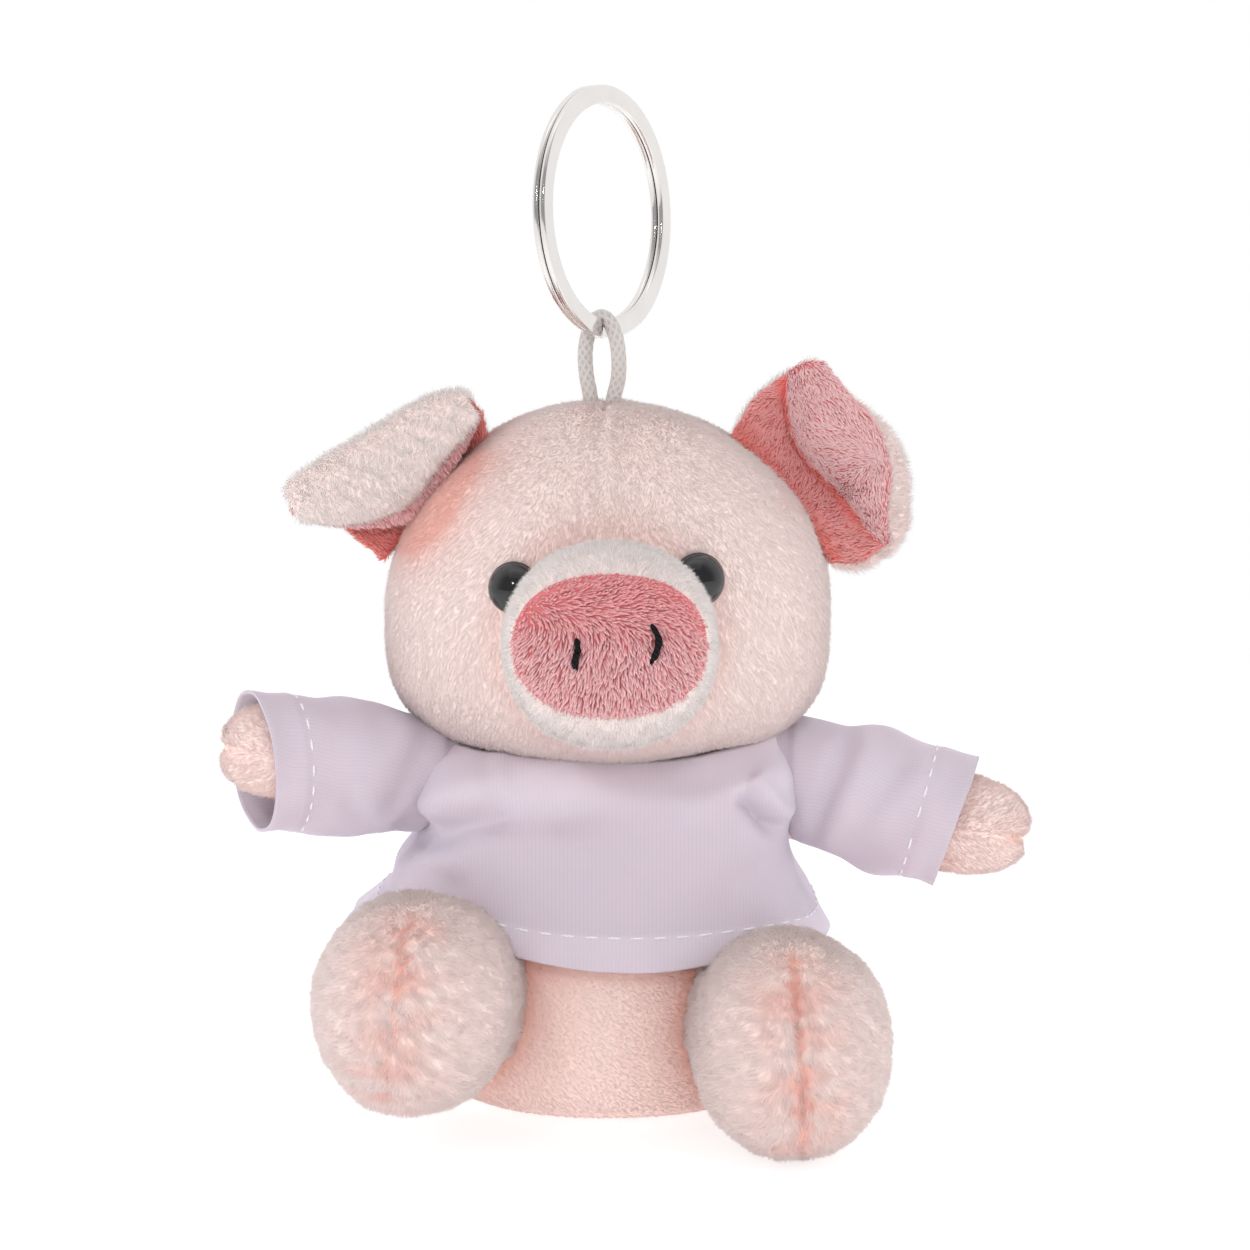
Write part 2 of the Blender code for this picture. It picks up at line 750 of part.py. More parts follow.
def make_key_ring(pivot):
    along, up, through = hang_axes()
    radius = (ring_diameter - wire_wide) / 2
    centre = loop_root() + up * (loop_rise + radius)
    outline = bpy.data.curves.new("wire_section", "CURVE")
    outline.dimensions = "2D"
    half_wide, half_thick = wire_wide / 2, wire_thick / 2
    corners = ((half_wide - wire_edge_bevel, half_thick), (half_wide, half_thick - wire_edge_bevel))
    spline = outline.splines.new("POLY")
    section = [corners[1], corners[0]]
    section += [(-x, y) for x, y in reversed(section)]
    section += [(-x, -y) for x, y in section]
    spline.points.add(len(section) - 1)
    spline.use_cyclic_u = True
    for slot, (x, y) in zip(spline.points, section):
        slot.co = (x, y, 0, 1)
    section_object = bpy.data.objects.new("wire_section", outline)
    cutters.objects.link(as_cutter(section_object))
    data = bpy.data.curves.new("key_ring", "CURVE")
    data.dimensions = "3D"
    data.twist_mode = "Z_UP"
    data.bevel_mode = "OBJECT"
    data.bevel_object = section_object
    data.use_fill_caps = True
    one_layer = 2 * math.pi - ring_crossing
    whole = 2 * one_layer + ring_crossing
    count = round(whole / (2 * math.pi) * ring_turn_points)
    spline = data.splines.new("POLY")
    spline.points.add(count)
    for step, slot in enumerate(spline.points):
        gone = whole * step / count
        turn = ring_first_end - gone
        share = min(1, max(0, (gone - one_layer) / ring_crossing))
        layer = ring_layer_pitch / 2 - ring_layer_pitch * ease(share)
        slot.co = (radius * math.sin(turn), -radius * math.cos(turn), layer, 1)
    path = bpy.data.objects.new("key_ring_path", data)
    charm.objects.link(path)
    ring = mesh_from_curve("key_ring", path, bright_steel())
    turn = Matrix((along, up, through)).transposed().to_4x4()
    ring.matrix_world = Matrix.Translation(centre) @ turn
    carry(ring, pivot)
    return centre


# Body

def body_rings():
    top = neck_height - seam_gap
    rings = []
    for rise, wide, deep in body_shares:
        place = axis_base + up_axis * (-stand_flat + rise * (top + stand_flat))
        rings.append((place, wide * body_width / 2, deep * body_depth / 2))
    rings.append((axis_base + up_axis * top, neck_radius, neck_radius))
    return rings


def body_form(name, room):
    form = as_cutter(ring_cage(name, body_rings(), right_axis, back_axis, form_sides, cutters))
    subdivide(form)
    swell(form, room)
    return form


def floor_block():
    bm = bmesh.new()
    bmesh.ops.create_cube(bm, size=floor_block_size)
    bmesh.ops.translate(bm, vec=(0, 0, -floor_block_size / 2), verts=bm.verts)
    return as_cutter(mesh_object("floor_block", bm, cutters))


def make_body(floor):
    cover = ring_cage("body_cover", body_rings(), right_axis, back_axis, form_sides, charm, pale_plush())
    open_end(cover, axis_base + up_axis * neck_height)
    subdivide(cover)
    thicken(cover, cover_wall)
    cut(cover, floor)
    filling = ring_cage("body_filling", body_rings(), right_axis, back_axis, form_sides, charm, fibre_fill())
    subdivide(filling)
    swell(filling, -(cover_wall + filling_gap))


# Limbs

def limb_axes(direction):
    """Across and up a limb that points along a direction."""
    right = up_axis.cross(direction).normalized()
    return right, direction.cross(right)


def limb_rings(start, direction, length, shares, width, height):
    return [(start + direction * (row[0] * length), row[1] * width / 2, row[-1] * height / 2)
            for row in shares]


def make_limb(kind, side_name, rings, direction, pivot, angles, floor=None):
    right, up = limb_axes(direction)
    cover = ring_cage(f"{kind}_cover_{side_name}", rings, right, up, limb_sides, charm, pale_plush(),
                      open_first=True)
    subdivide(cover)
    thicken(cover, cover_wall)
    filling = ring_cage(f"{kind}_filling_{side_name}", rings, right, up, limb_sides, charm, fibre_fill())
    subdivide(filling)
    swell(filling, -(cover_wall + filling_gap))
    form = bpy.data.objects["body_form_for_limbs"]
    for piece in (cover, filling):
        cut_for_swing(piece, form, pivot["world"], up_axis, angles)
        carry(piece, pivot)
    if floor:
        cut(cover, floor)
    return cover, filling


def arm_line(side):
    """The shoulder, the arm's direction and the length of its line out from the shoulder."""
    climb = arm_left_climb if side > 0 else arm_right_climb
    forward = arm_left_forward if side > 0 else arm_right_forward
    length = arm_left_length if side > 0 else arm_right_length
    shoulder = axis_base + Vector((side * shoulder_side, -shoulder_forward, shoulder_height))
    direction = Vector((side * math.cos(forward) * math.cos(climb), -math.sin(forward) * math.cos(climb),
                        math.sin(climb)))
    return shoulder, direction, length


def swing_angles(side, forward, back):
    """Rest and the two ends of a swing about +Z. Forwards turns the left side clockwise from above."""
    return (0, -side * forward, side * back)


def make_arm(side_name, side, pivot):
    shoulder, direction, length = arm_line(side)
    angles = swing_angles(side, arm_swing_forward, arm_swing_back)
    root = axis_base + Vector((side * arm_root_side, -shoulder_forward, arm_root_height))
    rings = [(root, arm_root_width / 2, arm_root_width / 2)]
    rings += limb_rings(shoulder, direction, length, arm_shares, arm_width, arm_width)
    make_limb("arm", side_name, rings, direction, pivot, angles)
    make_sleeve(side_name, side, shoulder, direction, pivot, angles)


def make_sleeve(side_name, side, shoulder, direction, pivot, angles):
    """A jersey tube round the arm, from inside the armhole to the cuff."""
    length = sleeve_left_length if side > 0 else sleeve_right_length
    right, up = limb_axes(direction)
    start = shoulder - direction * sleeve_root_in
    rings = []
    for share in sleeve_shares:
        tall = sleeve_root_tall + (sleeve_cuff_tall - sleeve_root_tall) * share
        deep = sleeve_root_deep + (sleeve_cuff_deep - sleeve_root_deep) * share
        rings.append((start + direction * (share * (length + sleeve_root_in)), deep / 2, tall / 2))
    sleeve = ring_cage("sleeve_" + side_name, rings, right, up, form_sides, charm, lilac_jersey(),
                       open_first=True)
    open_end(sleeve, start + direction * (length + sleeve_root_in))
    subdivide(sleeve)
    thicken(sleeve, jersey_wall)
    cut_for_swing(sleeve, bpy.data.objects["head_form_for_sleeves"], pivot["world"], up_axis, angles)
    carry(sleeve, pivot)


def make_leg(side_name, side, pivot, floor):
    hip = pivot["world"]
    if side > 0:
        ball_place = Vector((foot_left_side, -foot_left_forward, foot_left_height))
        tall = leg_left_tall
    else:
        ball_place = Vector((-foot_right_side, -foot_right_forward, foot_right_height))
        tall = leg_right_tall
    line = axis_base + ball_place - hip
    direction = line.normalized()
    start = hip - direction * leg_root_reach
    length = line.length + leg_root_reach + foot_overhang
    angles = (0, side * leg_swing_out, -side * leg_swing_in)
    rings = limb_rings(start, direction, length, leg_shares, leg_width, tall)
    make_limb("leg", side_name, rings, direction, pivot, angles, floor)


# T-shirt

def hem_height(turn):
    """The hem dips in front and lies over the top of each leg."""
    level = hem_front_height + (hem_back_height - hem_front_height) * (1 + math.sin(turn)) / 2
    for lift, side, forward in ((hem_lift_left, foot_left_side, foot_left_forward),
                                (hem_lift_right, -foot_right_side, foot_right_forward)):
        leg_turn = math.atan2(-forward * hem_width / hem_depth, side)
        apart = math.remainder(turn - leg_turn, 2 * math.pi)
        level += lift * math.exp(-(apart / hem_lift_spread) ** 2)
    return level


def shirt_point(turn, share):
    """A point of the shirt at a turn about the axis and a share of the way down from the collar."""
    lines = ((0.0, collar_width, collar_depth, 0.0),
             (shirt_line_shares[0], shoulder_width, shoulder_depth, 0.0),
             (shirt_line_shares[1], chest_width, chest_depth, 0.0),
             (shirt_line_shares[2], waist_width, waist_depth, waist_shift),
             (1.0, hem_width, hem_depth, hem_shift))
    width, depth, shift = blend_table(lines, share)
    collar = neck_height + jaw_height * (1 - jaw_shares[0][0]) + collar_rise
    low = hem_height(turn)
    height = collar + (low - collar) * share
    outwards = shirt_fold(width / 2 * math.cos(turn), height)
    half_width, half_depth = width / 2 + outwards, depth / 2 + outwards
    return axis_base + Vector((shift + half_width * math.cos(turn), half_depth * math.sin(turn), height))


def shirt_fold(across, height):
    """How far the pull from the right underarm lifts the jersey, and the tuck at the left one sinks it."""
    underarm = shoulder_height - sleeve_root_tall / 2
    fold_fade = max(0, 1 - abs(across - underarm_fold_side) / underarm_fold_reach)
    fold_line = underarm + (across + shoulder_side) * underarm_fold_slope
    fold = underarm_fold_depth * math.exp(-((height - fold_line) / underarm_fold_spread) ** 2)
    tuck_fade = max(0, 1 - abs(across - tuck_side) / tuck_reach)
    tuck_line = underarm - (across - shoulder_side) * tuck_slope
    tuck = tuck_depth * math.exp(-((height - tuck_line) / underarm_fold_spread) ** 2)
    return fold * fold_fade - tuck * tuck_fade


def make_shirt_panel(name, first, last):
    rows = []
    for row in range(shirt_rows + 1):
        share = row / shirt_rows
        points = []
        for column in range(shirt_columns + 1):
            turn = first + (last - first) * column / shirt_columns
            points.append(shirt_point(turn, share))
        rows.append(points)
    panel = sheet_cage(name, rows, charm, lilac_jersey())
    thicken(panel, jersey_wall)
    for side_name in ("left", "right"):
        cut(panel, bpy.data.objects["armhole_" + side_name])


def make_armhole(side_name, side):
    """The hole that each sleeve passes with room to swing, along X through the shoulder."""
    shoulder, _, _ = arm_line(side)
    half_tall = sleeve_root_tall / 2 + armhole_gap
    half_deep = sleeve_root_deep / 2 + armhole_gap + armhole_swing_room
    hole = cylinder_cutter("armhole_" + side_name, half_deep, armhole_reach, shoulder, right_axis)
    hole.data.transform(Matrix.Diagonal((1, half_tall / half_deep, 1, 1)))


def make_shirt():
    half_gap = shirt_side_gap / hem_depth
    make_armhole("left", 1)
    make_armhole("right", -1)
    make_shirt_panel("shirt_front", -half_gap, -math.pi + half_gap)
    make_shirt_panel("shirt_back", math.pi - half_gap, half_gap)


def build():
    start_scene()
    floor = floor_block()
    head_form("head_form", 0)
    body_form("body_form_for_limbs", seam_gap)
    head_form("head_form_for_ears", seam_gap)
    head_form("head_form_for_sleeves", cheek_room)
    make_body(floor)
    make_shirt()

    neck = pivot_empty("neck", axis_base + up_axis * neck_height)
    cover, filling = make_head(neck)
    muzzle_pieces = make_muzzle(neck)
    make_eye("left", eye_side, eye_left_height, cover, filling, muzzle_pieces, neck)
    make_eye("right", -eye_side, eye_right_height, cover, filling, muzzle_pieces, neck)
    make_nostril("left", nostril_left_ends, nostril_left_bow, neck)
    make_nostril("right", nostril_right_ends, nostril_right_bow, neck)

    for side_name, side, shares in (("left", 1, ear_left_shares), ("right", -1, ear_right_shares)):
        top, low, _, _ = ear_axes(side)
        make_ear(side_name, side, shares, pivot_empty("ear_seam_" + side_name, (top + low) / 2, neck))

    loop_pivot = pivot_empty("loop_root", loop_root(), neck)
    make_loop(loop_pivot, cover, filling)
    _, up, _ = hang_axes()
    bight = pivot_empty("bight", loop_root() + up * loop_rise, loop_pivot)
    ring_centre = make_key_ring(bight)

    for side_name, side in (("left", 1), ("right", -1)):
        shoulder, _, _ = arm_line(side)
        make_arm(side_name, side, pivot_empty("shoulder_" + side_name, shoulder))
        hip = axis_base + Vector((side * hip_side, -hip_forward, hip_height))
        make_leg(side_name, side, pivot_empty("hip_" + side_name, hip), floor)

    for empty in bpy.data.objects:
        if empty.type == "EMPTY":
            bpy.context.view_layer.update()
            print("pivot", empty.name, tuple(round(value, 6) for value in empty.matrix_world.translation))
    print("ring centre", tuple(round(value, 6) for value in ring_centre))
    for name, axis in zip(("along wire", "up loop", "through ring"), hang_axes()):
        print(name, tuple(round(value, 5) for value in axis))
    for side in (1, -1):
        print("ear seam", side, tuple(round(value, 5) for value in ear_axes(side)[2]))


build()
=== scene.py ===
import json
import math

import bpy
import numpy as np
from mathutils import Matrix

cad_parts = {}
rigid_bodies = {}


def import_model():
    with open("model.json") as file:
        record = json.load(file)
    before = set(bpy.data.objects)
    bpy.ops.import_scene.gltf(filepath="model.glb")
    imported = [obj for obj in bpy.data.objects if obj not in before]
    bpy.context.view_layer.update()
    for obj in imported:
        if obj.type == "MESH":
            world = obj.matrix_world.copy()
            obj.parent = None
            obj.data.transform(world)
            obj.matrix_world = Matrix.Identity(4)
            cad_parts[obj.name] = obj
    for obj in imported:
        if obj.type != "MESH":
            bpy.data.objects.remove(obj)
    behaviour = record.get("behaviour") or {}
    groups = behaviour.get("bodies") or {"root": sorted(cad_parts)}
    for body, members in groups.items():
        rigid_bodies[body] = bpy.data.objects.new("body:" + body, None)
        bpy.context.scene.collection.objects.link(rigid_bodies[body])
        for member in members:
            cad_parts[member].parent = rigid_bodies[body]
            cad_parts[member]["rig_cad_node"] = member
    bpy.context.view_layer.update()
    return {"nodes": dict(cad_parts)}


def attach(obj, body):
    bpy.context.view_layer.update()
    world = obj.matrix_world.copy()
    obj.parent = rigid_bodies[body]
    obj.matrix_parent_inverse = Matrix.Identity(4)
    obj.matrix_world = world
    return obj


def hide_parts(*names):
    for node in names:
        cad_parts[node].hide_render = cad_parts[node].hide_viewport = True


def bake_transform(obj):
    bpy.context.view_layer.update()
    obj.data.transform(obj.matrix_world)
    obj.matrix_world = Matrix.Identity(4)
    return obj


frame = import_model()
print("frame loaded")

mm = 0.001
toyAxis = np.array([-2.05, 9.35, 0.0])  # the head and body axis: all sizes below are mm about it
xWay, yWay, zWay = np.eye(3)
wholeTurn = 2 * math.pi


# plain helpers: mm about the toy's axis in, pieces in metres out

def unit(v):
    return v / np.maximum(np.linalg.norm(v, axis=-1, keepdims=True), 1e-9)


def ease(t):
    t = np.clip(t, 0.0, 1.0)
    return t * t * (3.0 - 2.0 * t)


def hill(x, centre, width):
    return np.exp(-((x - centre) / width) ** 2)


def spread(values, at):
    # a smooth curve through evenly spaced values: cubic between each pair, slopes from the neighbours
    values = np.asarray(values, float)
    last = len(values) - 1
    t = np.clip(np.asarray(at, float), 0, 1) * last
    k = np.minimum(t.astype(int), last - 1)
    f = (t - k).reshape(t.shape + (1,) * (values.ndim - 1))
    padded = np.concatenate([2 * values[:1] - values[1:2], values, 2 * values[-1:] - values[-2:-1]])
    a, b, c, d = (padded[k + i] for i in range(4))
    return b + 0.5 * f * (c - a + f * (2 * a - 5 * b + 4 * c - d + f * (3 * (b - c) + d - a)))


def ripple(points, wave, seed, count=7):
    # plane waves in random directions added up: smooth lumps about one wave across, near -1 to 1
    rng = np.random.default_rng(seed)
    way = unit(rng.normal(size=(count, 3))) * rng.uniform(0.7, 1.4, (count, 1)) * wholeTurn / wave
    return np.sin(points @ way.T + rng.uniform(0, 6.28, count)).sum(-1) / math.sqrt(count)


def gridFaces(rows, columns, around=True):
    # quads of a grid counted row by row; around closes the columns into a ring
    r, c = np.meshgrid(np.arange(rows - 1), np.arange(columns if around else columns - 1), indexing="ij")
    r, c = r.ravel(), c.ravel()
    n = (c + 1) % columns
    return np.stack([r * columns + c, r * columns + n, (r + 1) * columns + n, (r + 1) * columns + c], 1)


def closedForm(grid, first, last):
    # rings joined to one point at each end
    rows, columns = grid.shape[:2]
    edge = np.arange(columns)
    after, top = (edge + 1) % columns, (rows - 1) * columns
    points = np.concatenate([grid.reshape(-1, 3), [first], [last]])
    low = np.stack([after, edge, np.full(columns, rows * columns)], 1)
    high = np.stack([edge + top, after + top, np.full(columns, rows * columns + 1)], 1)
    return points, [gridFaces(rows, columns), low, high]


def rings(path, side, up, halfSide, halfUp, power, turnPoints):
    # ring point = path + side * halfSide * cos + up * halfUp * sin, the cos and sin drawn out to 2 / power
    turn = np.arange(turnPoints) * wholeTurn / turnPoints
    bend = 2.0 / np.asarray(power, float).reshape(-1, 1)
    c, s = (np.sign(w) * np.abs(w) ** bend for w in (np.cos(turn)[None], np.sin(turn)[None]))
    side, up = (np.broadcast_to(v, path.shape) for v in (side, up))
    across = side[:, None] * (np.reshape(halfSide, (-1, 1)) * c)[..., None]
    return path[:, None] + across + up[:, None] * (np.reshape(halfUp, (-1, 1)) * s)[..., None]


def makePiece(name, points, faceSets, material, maps=None, marks=None, normals=None):
    flat = np.concatenate([f.ravel() for f in faceSets]).astype(np.int32)
    sides = np.concatenate([np.full(len(f), f.shape[1]) for f in faceSets])
    starts = np.concatenate([[0], np.cumsum(sides)[:-1]]).astype(np.int32)
    mesh = bpy.data.meshes.new(name)
    mesh.vertices.add(len(points))
    mesh.vertices.foreach_set("co", ((points + toyAxis) * mm).astype(np.float32).ravel())
    mesh.loops.add(len(flat))
    mesh.loops.foreach_set("vertex_index", flat)
    mesh.polygons.add(len(starts))
    mesh.polygons.foreach_set("loop_start", starts)
    mesh.polygons.foreach_set("use_smooth", np.full(len(starts), True))
    for key, place in (maps or {}).items():  # a place for each point, or for each corner of each face
        place = place[flat] if len(place) == len(points) else place
        mesh.uv_layers.new(name=key).data.foreach_set("uv", place.astype(np.float32).ravel())
    for key, values in (marks or {}).items():
        mesh.attributes.new(key, "FLOAT", "POINT").data.foreach_set("value", values.astype(np.float32))
    mesh.update(calc_edges=True)
    if normals is not None:
        mesh.normals_split_custom_set_from_vertices(normals.astype(np.float32))
    mesh.materials.append(material)
    piece = bpy.data.objects.new(name, mesh)
    bpy.context.scene.collection.objects.link(piece)
    return piece


def skinOf(points, faceSets):
    # what pile grows on: triangles, their areas, and normals averaged at the points
    tri = np.concatenate([f if f.shape[1] == 3 else np.concatenate([f[:, [0, 1, 2]], f[:, [0, 2, 3]]])
                          for f in faceSets])
    a, b, c = (points[tri[:, k]] for k in range(3))
    across = np.cross(b - a, c - a)
    normal = np.stack([np.bincount(tri.ravel(), np.repeat(across[:, k], 3), len(points))
                       for k in range(3)], 1)
    return dict(points=points, tri=tri, normal=unit(normal), area=np.linalg.norm(across, axis=1) / 2)


def facingOut(points, faceSets, outward):
    # the faces as they are, or turned over where their normals run against the outward directions
    normal = skinOf(points, faceSets)["normal"][:len(outward)]
    return faceSets if (normal * outward).sum() >= 0 else [f[:, ::-1] for f in faceSets]


# the pile: every fibre is a three-sided spike of its own

pileMap = dict(bands=16, nearRoot=0.03, nearTip=0.97, halfWidth=0.14)
pieceLimit = 190000  # triangles
lowest = 0.05  # no fibre dips under the table
leastRise = 0.12  # a fibre rises from the skin by at least this share
lengthSpan, widthSpan = (0.72, 1.12), (0.75, 1.2)  # shares of the look's own length and width


def growPile(name, skin, material, look, lie, cover, tintAndShade, longer, seed):
    # fibres stand at area-weighted random places. One leans from the normal towards lie, strays a little,
    # and joins its neighbours in tufts. Its map holds root to tip across, and the tint with its painted
    # shade, and the strand, upwards.
    rng = np.random.default_rng(seed)
    size = len(skin["points"])
    fields = [np.broadcast_to(np.asarray(v, float), (size,)) for v in (tintAndShade, longer)]
    lie = np.broadcast_to(np.asarray(lie, float), (size, 3))
    cover = np.broadcast_to(np.asarray(cover, float), (size,))
    weight = (skin["area"] * cover[skin["tri"]].mean(1)).cumsum()
    thin, wide = ((1.0, 1.0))  # shares of the fibre count and width, both whole
    count = int(weight[-1] * look["perSquareMm"] * thin)
    pick = np.searchsorted(weight, (np.arange(count) + rng.random(count)) / count * weight[-1])
    corners = skin["tri"][np.minimum(pick, len(skin["tri"]) - 1)]
    a, b = np.sqrt(rng.random(count)), rng.random(count)
    mix = np.stack([1 - a, a * (1 - b), a * b], 1)

    def at(values):
        return np.einsum("nk,nk...->n...", mix, values[corners])

    root, normal, way = at(skin["points"]), unit(at(skin["normal"])), at(lie)
    tintAndShadeHere, longerHere = (at(np.ascontiguousarray(f)) for f in fields)
    way = unit(way - normal * (way * normal).sum(1, keepdims=True))
    tuft = np.stack([ripple(root, look["tuftSize"], seed + 11 + k) for k in range(3)], 1) * look["tuft"]
    lean = look["lean"]
    grow = unit(normal * (1 - lean) + way * lean + tuft + rng.normal(size=(count, 3)) * look["stray"])
    grow = unit(grow + normal * np.maximum(leastRise - (grow * normal).sum(1, keepdims=True), 0))
    length = look["length"] * longerHere * rng.uniform(*lengthSpan, count)
    across = unit(np.cross(grow, rng.normal(size=(count, 3))))
    third = np.cross(grow, across)
    foot = root - normal * look["sink"]
    tip = root + grow * length[:, None] - normal * (look["droop"] * length)[:, None]
    half = look["width"] * wide / 2 * rng.uniform(*widthSpan, (count, 1))
    turns = [(math.cos(k * wholeTurn / 3), math.sin(k * wholeTurn / 3)) for k in range(3)]
    layers = [np.stack([foot + half * (c * across + s * third) for c, s in turns], 1)]
    heights = [pileMap["nearRoot"]]
    if look.get("middle"):  # a second ring, so a coarse strand stays full to near its tip
        share = look["middle"]
        knee = root + grow * length[:, None] * share + normal * (look["arch"] * length)[:, None]
        layers.append(np.stack([knee + half * look["full"] * (c * across + s * third) for c, s in turns], 1))
        heights.append(share)
    points = np.concatenate(layers + [tip[:, None]], 1)
    # a fibre is shaded partly by the skin's normal and partly by its own sides'
    outward = np.stack([c * across + s * third for c, s in turns], 1)
    outward = np.concatenate([outward] * len(layers) + [grow[:, None]], 1)
    shading = unit(normal[:, None] * (1 - look["ownShade"]) + outward * look["ownShade"])
    points[..., 2] = np.maximum(points[..., 2], lowest)
    each = points.shape[1]
    faces = [[0, 1, each - 1], [1, 2, each - 1], [2, 0, each - 1]] if each == 4 else [
        [0, 1, 4], [0, 4, 3], [1, 2, 5], [1, 5, 4], [2, 0, 3], [2, 3, 5], [3, 4, 6], [4, 5, 6], [5, 3, 6]]
    band = np.round(np.clip(tintAndShadeHere + rng.normal(size=count) * 0.02, 0, 1) * (pileMap["bands"] - 1))
    strand = 0.2 + 0.6 * rng.random(count)
    beside = np.append(np.tile([-1, 0, 1], len(layers)), 0) * pileMap["halfWidth"]
    place = np.empty((count, each, 2))
    place[..., 0] = np.append(np.repeat(heights, 3), pileMap["nearTip"])
    place[..., 1] = ((band + strand)[:, None] + beside) / pileMap["bands"]
    perPiece = pieceLimit // len(faces)
    made = []
    for k in range(max(1, -(-count // perPiece))):
        part = slice(k * perPiece, min(count, (k + 1) * perPiece))
        number = part.stop - part.start
        index = (np.arange(number) * each)[:, None, None] + np.array(faces)[None]
        made.append(makePiece(f"{name}_{k + 1}", points[part].reshape(-1, 3), [index.reshape(-1, 3)],
                              material, maps={"OFBake": place[part].reshape(-1, 2)},
                              normals=shading[part].reshape(-1, 3)))
    print(name, count, "fibres in", len(made), "pieces")
    return made


# shader helpers

def addNode(tree, kind, inputs=None, **settings):
    made = tree.nodes.new(kind)
    for key, value in settings.items():
        setattr(made, key, value)
    for key, value in (inputs or {}).items():
        if isinstance(value, bpy.types.NodeSocket):
            tree.links.new(value, made.inputs[key])
        else:
            made.inputs[key].default_value = value
    return made


def calc(tree, operation, *values):
    return addNode(tree, "ShaderNodeMath", dict(enumerate(values)), operation=operation).outputs[0]


def mixColour(tree, share, first, second, blend="MIX"):
    made = addNode(tree, "ShaderNodeMix", {0: share, 6: first, 7: second}, data_type="RGBA", blend_type=blend)
    return made.outputs[2]


def newMaterial(name, **fixed):
    material = bpy.data.materials.new(name)
    material.use_nodes = True
    tree = material.node_tree
    shader = tree.nodes["Principled BSDF"]
    for key, value in fixed.items():
        shader.inputs[key.replace("_", " ")].default_value = value
    return material, tree, shader


def newGroup(name, inputs, outputs):
    group = bpy.data.node_groups.new(name, "ShaderNodeTree")
    for way, sockets in (("INPUT", inputs), ("OUTPUT", outputs)):
        for key, kind in sockets.items():
            group.interface.new_socket(name=key, in_out=way, socket_type="NodeSocket" + kind)
    return group, addNode(group, "NodeGroupInput").outputs, addNode(group, "NodeGroupOutput").inputs


def useGroup(tree, group, inputs):
    return addNode(tree, "ShaderNodeGroup", inputs, node_tree=group).outputs


def objectPlace(tree):
    return addNode(tree, "ShaderNodeTexCoord").outputs["Object"]


def addNoise(tree, place, scale, detail):
    return addNode(tree, "ShaderNodeTexNoise", {"Vector": place, "Scale": scale, "Detail": detail}).outputs[0]


def setColour(tree, shader, share, first, second):
    tree.links.new(mixColour(tree, share, first, second), shader.inputs["Base Color"])


def setBump(tree, shader, height, strength, distance):
    bump = addNode(tree, "ShaderNodeBump", {"Height": height, "Strength": strength, "Distance": distance})
    tree.links.new(bump.outputs[0], shader.inputs["Normal"])


def rgb(red, green, blue):
    return (red, green, blue, 1.0)


# fibre colour: the root shade runs into the tip shade along the strand, then towards the tint colour
# that stands for painted shade in crevices, and each strand is a little lighter or darker than the next
fibreGroup, into, out = newGroup(
    "fibreColour",
    dict(Map="Vector", Root="Color", Body="Color", Tip="Color", TintAndShade="Color", TintAndShadeShare="Float",
         StrandShade="Float"),
    dict(Colour="Color"))
split = addNode(fibreGroup, "ShaderNodeSeparateXYZ", {0: into["Map"]}).outputs
stacked = calc(fibreGroup, "MULTIPLY", split["Y"], float(pileMap["bands"]))
tintAndShadeValue = calc(fibreGroup, "DIVIDE", calc(fibreGroup, "FLOOR", stacked), pileMap["bands"] - 1.0)
strandValue = calc(fibreGroup, "FRACT", stacked)
lower = mixColour(fibreGroup, calc(fibreGroup, "MULTIPLY", split["X"], 2.2), into["Root"], into["Body"])
whole = mixColour(fibreGroup, calc(fibreGroup, "POWER", split["X"], 1.6), lower, into["Tip"])
shadeTinted = mixColour(fibreGroup, calc(fibreGroup, "MULTIPLY", tintAndShadeValue, into["TintAndShadeShare"]), whole,
                    into["TintAndShade"])
shade = calc(fibreGroup, "SUBTRACT", 1.0, calc(fibreGroup, "MULTIPLY", strandValue, into["StrandShade"]))
shadeColour = addNode(fibreGroup, "ShaderNodeCombineColor", {0: shade, 1: shade, 2: shade}).outputs[0]
fibreGroup.links.new(mixColour(fibreGroup, 1.0, shadeTinted, shadeColour, "MULTIPLY"), out["Colour"])

# backing: the knit that the pile is rooted in, its shade wandering a little, and turned towards the tint
# colour by its mark as painted shade in crevices and seams
backingGroup, into, out = newGroup(
    "backingColour", dict(Place="Vector", Light="Color", Deep="Color", Size="Float", TintAndShade="Float",
                          TintAndShadeTo="Color"),
    dict(Colour="Color", Height="Float"))
patches = addNoise(backingGroup, into["Place"], into["Size"], 4.0)
knit = mixColour(backingGroup, patches, into["Light"], into["Deep"])
backingGroup.links.new(mixColour(backingGroup, into["TintAndShade"], knit, into["TintAndShadeTo"]), out["Colour"])
backingGroup.links.new(patches, out["Height"])


def plushMaterial(name, look):
    material, tree, shader = newMaterial(name, Roughness=0.92, Sheen_Weight=look["sheen"],
                                         Sheen_Roughness=0.35, Sheen_Tint=look["sheenTint"],
                                         Specular_IOR_Level=0.12)
    place = addNode(tree, "ShaderNodeUVMap", uv_map="OFBake").outputs[0]
    colour = useGroup(tree, fibreGroup, {"Map": place, "Root": look["root"], "Body": look["body"],
                                         "Tip": look["tip"], "TintAndShade": look["tintAndShade"],
                                         "TintAndShadeShare": look["tintAndShadeShare"],
                                         "StrandShade": look["strandShade"]})["Colour"]
    tree.links.new(colour, shader.inputs["Base Color"])
    return material


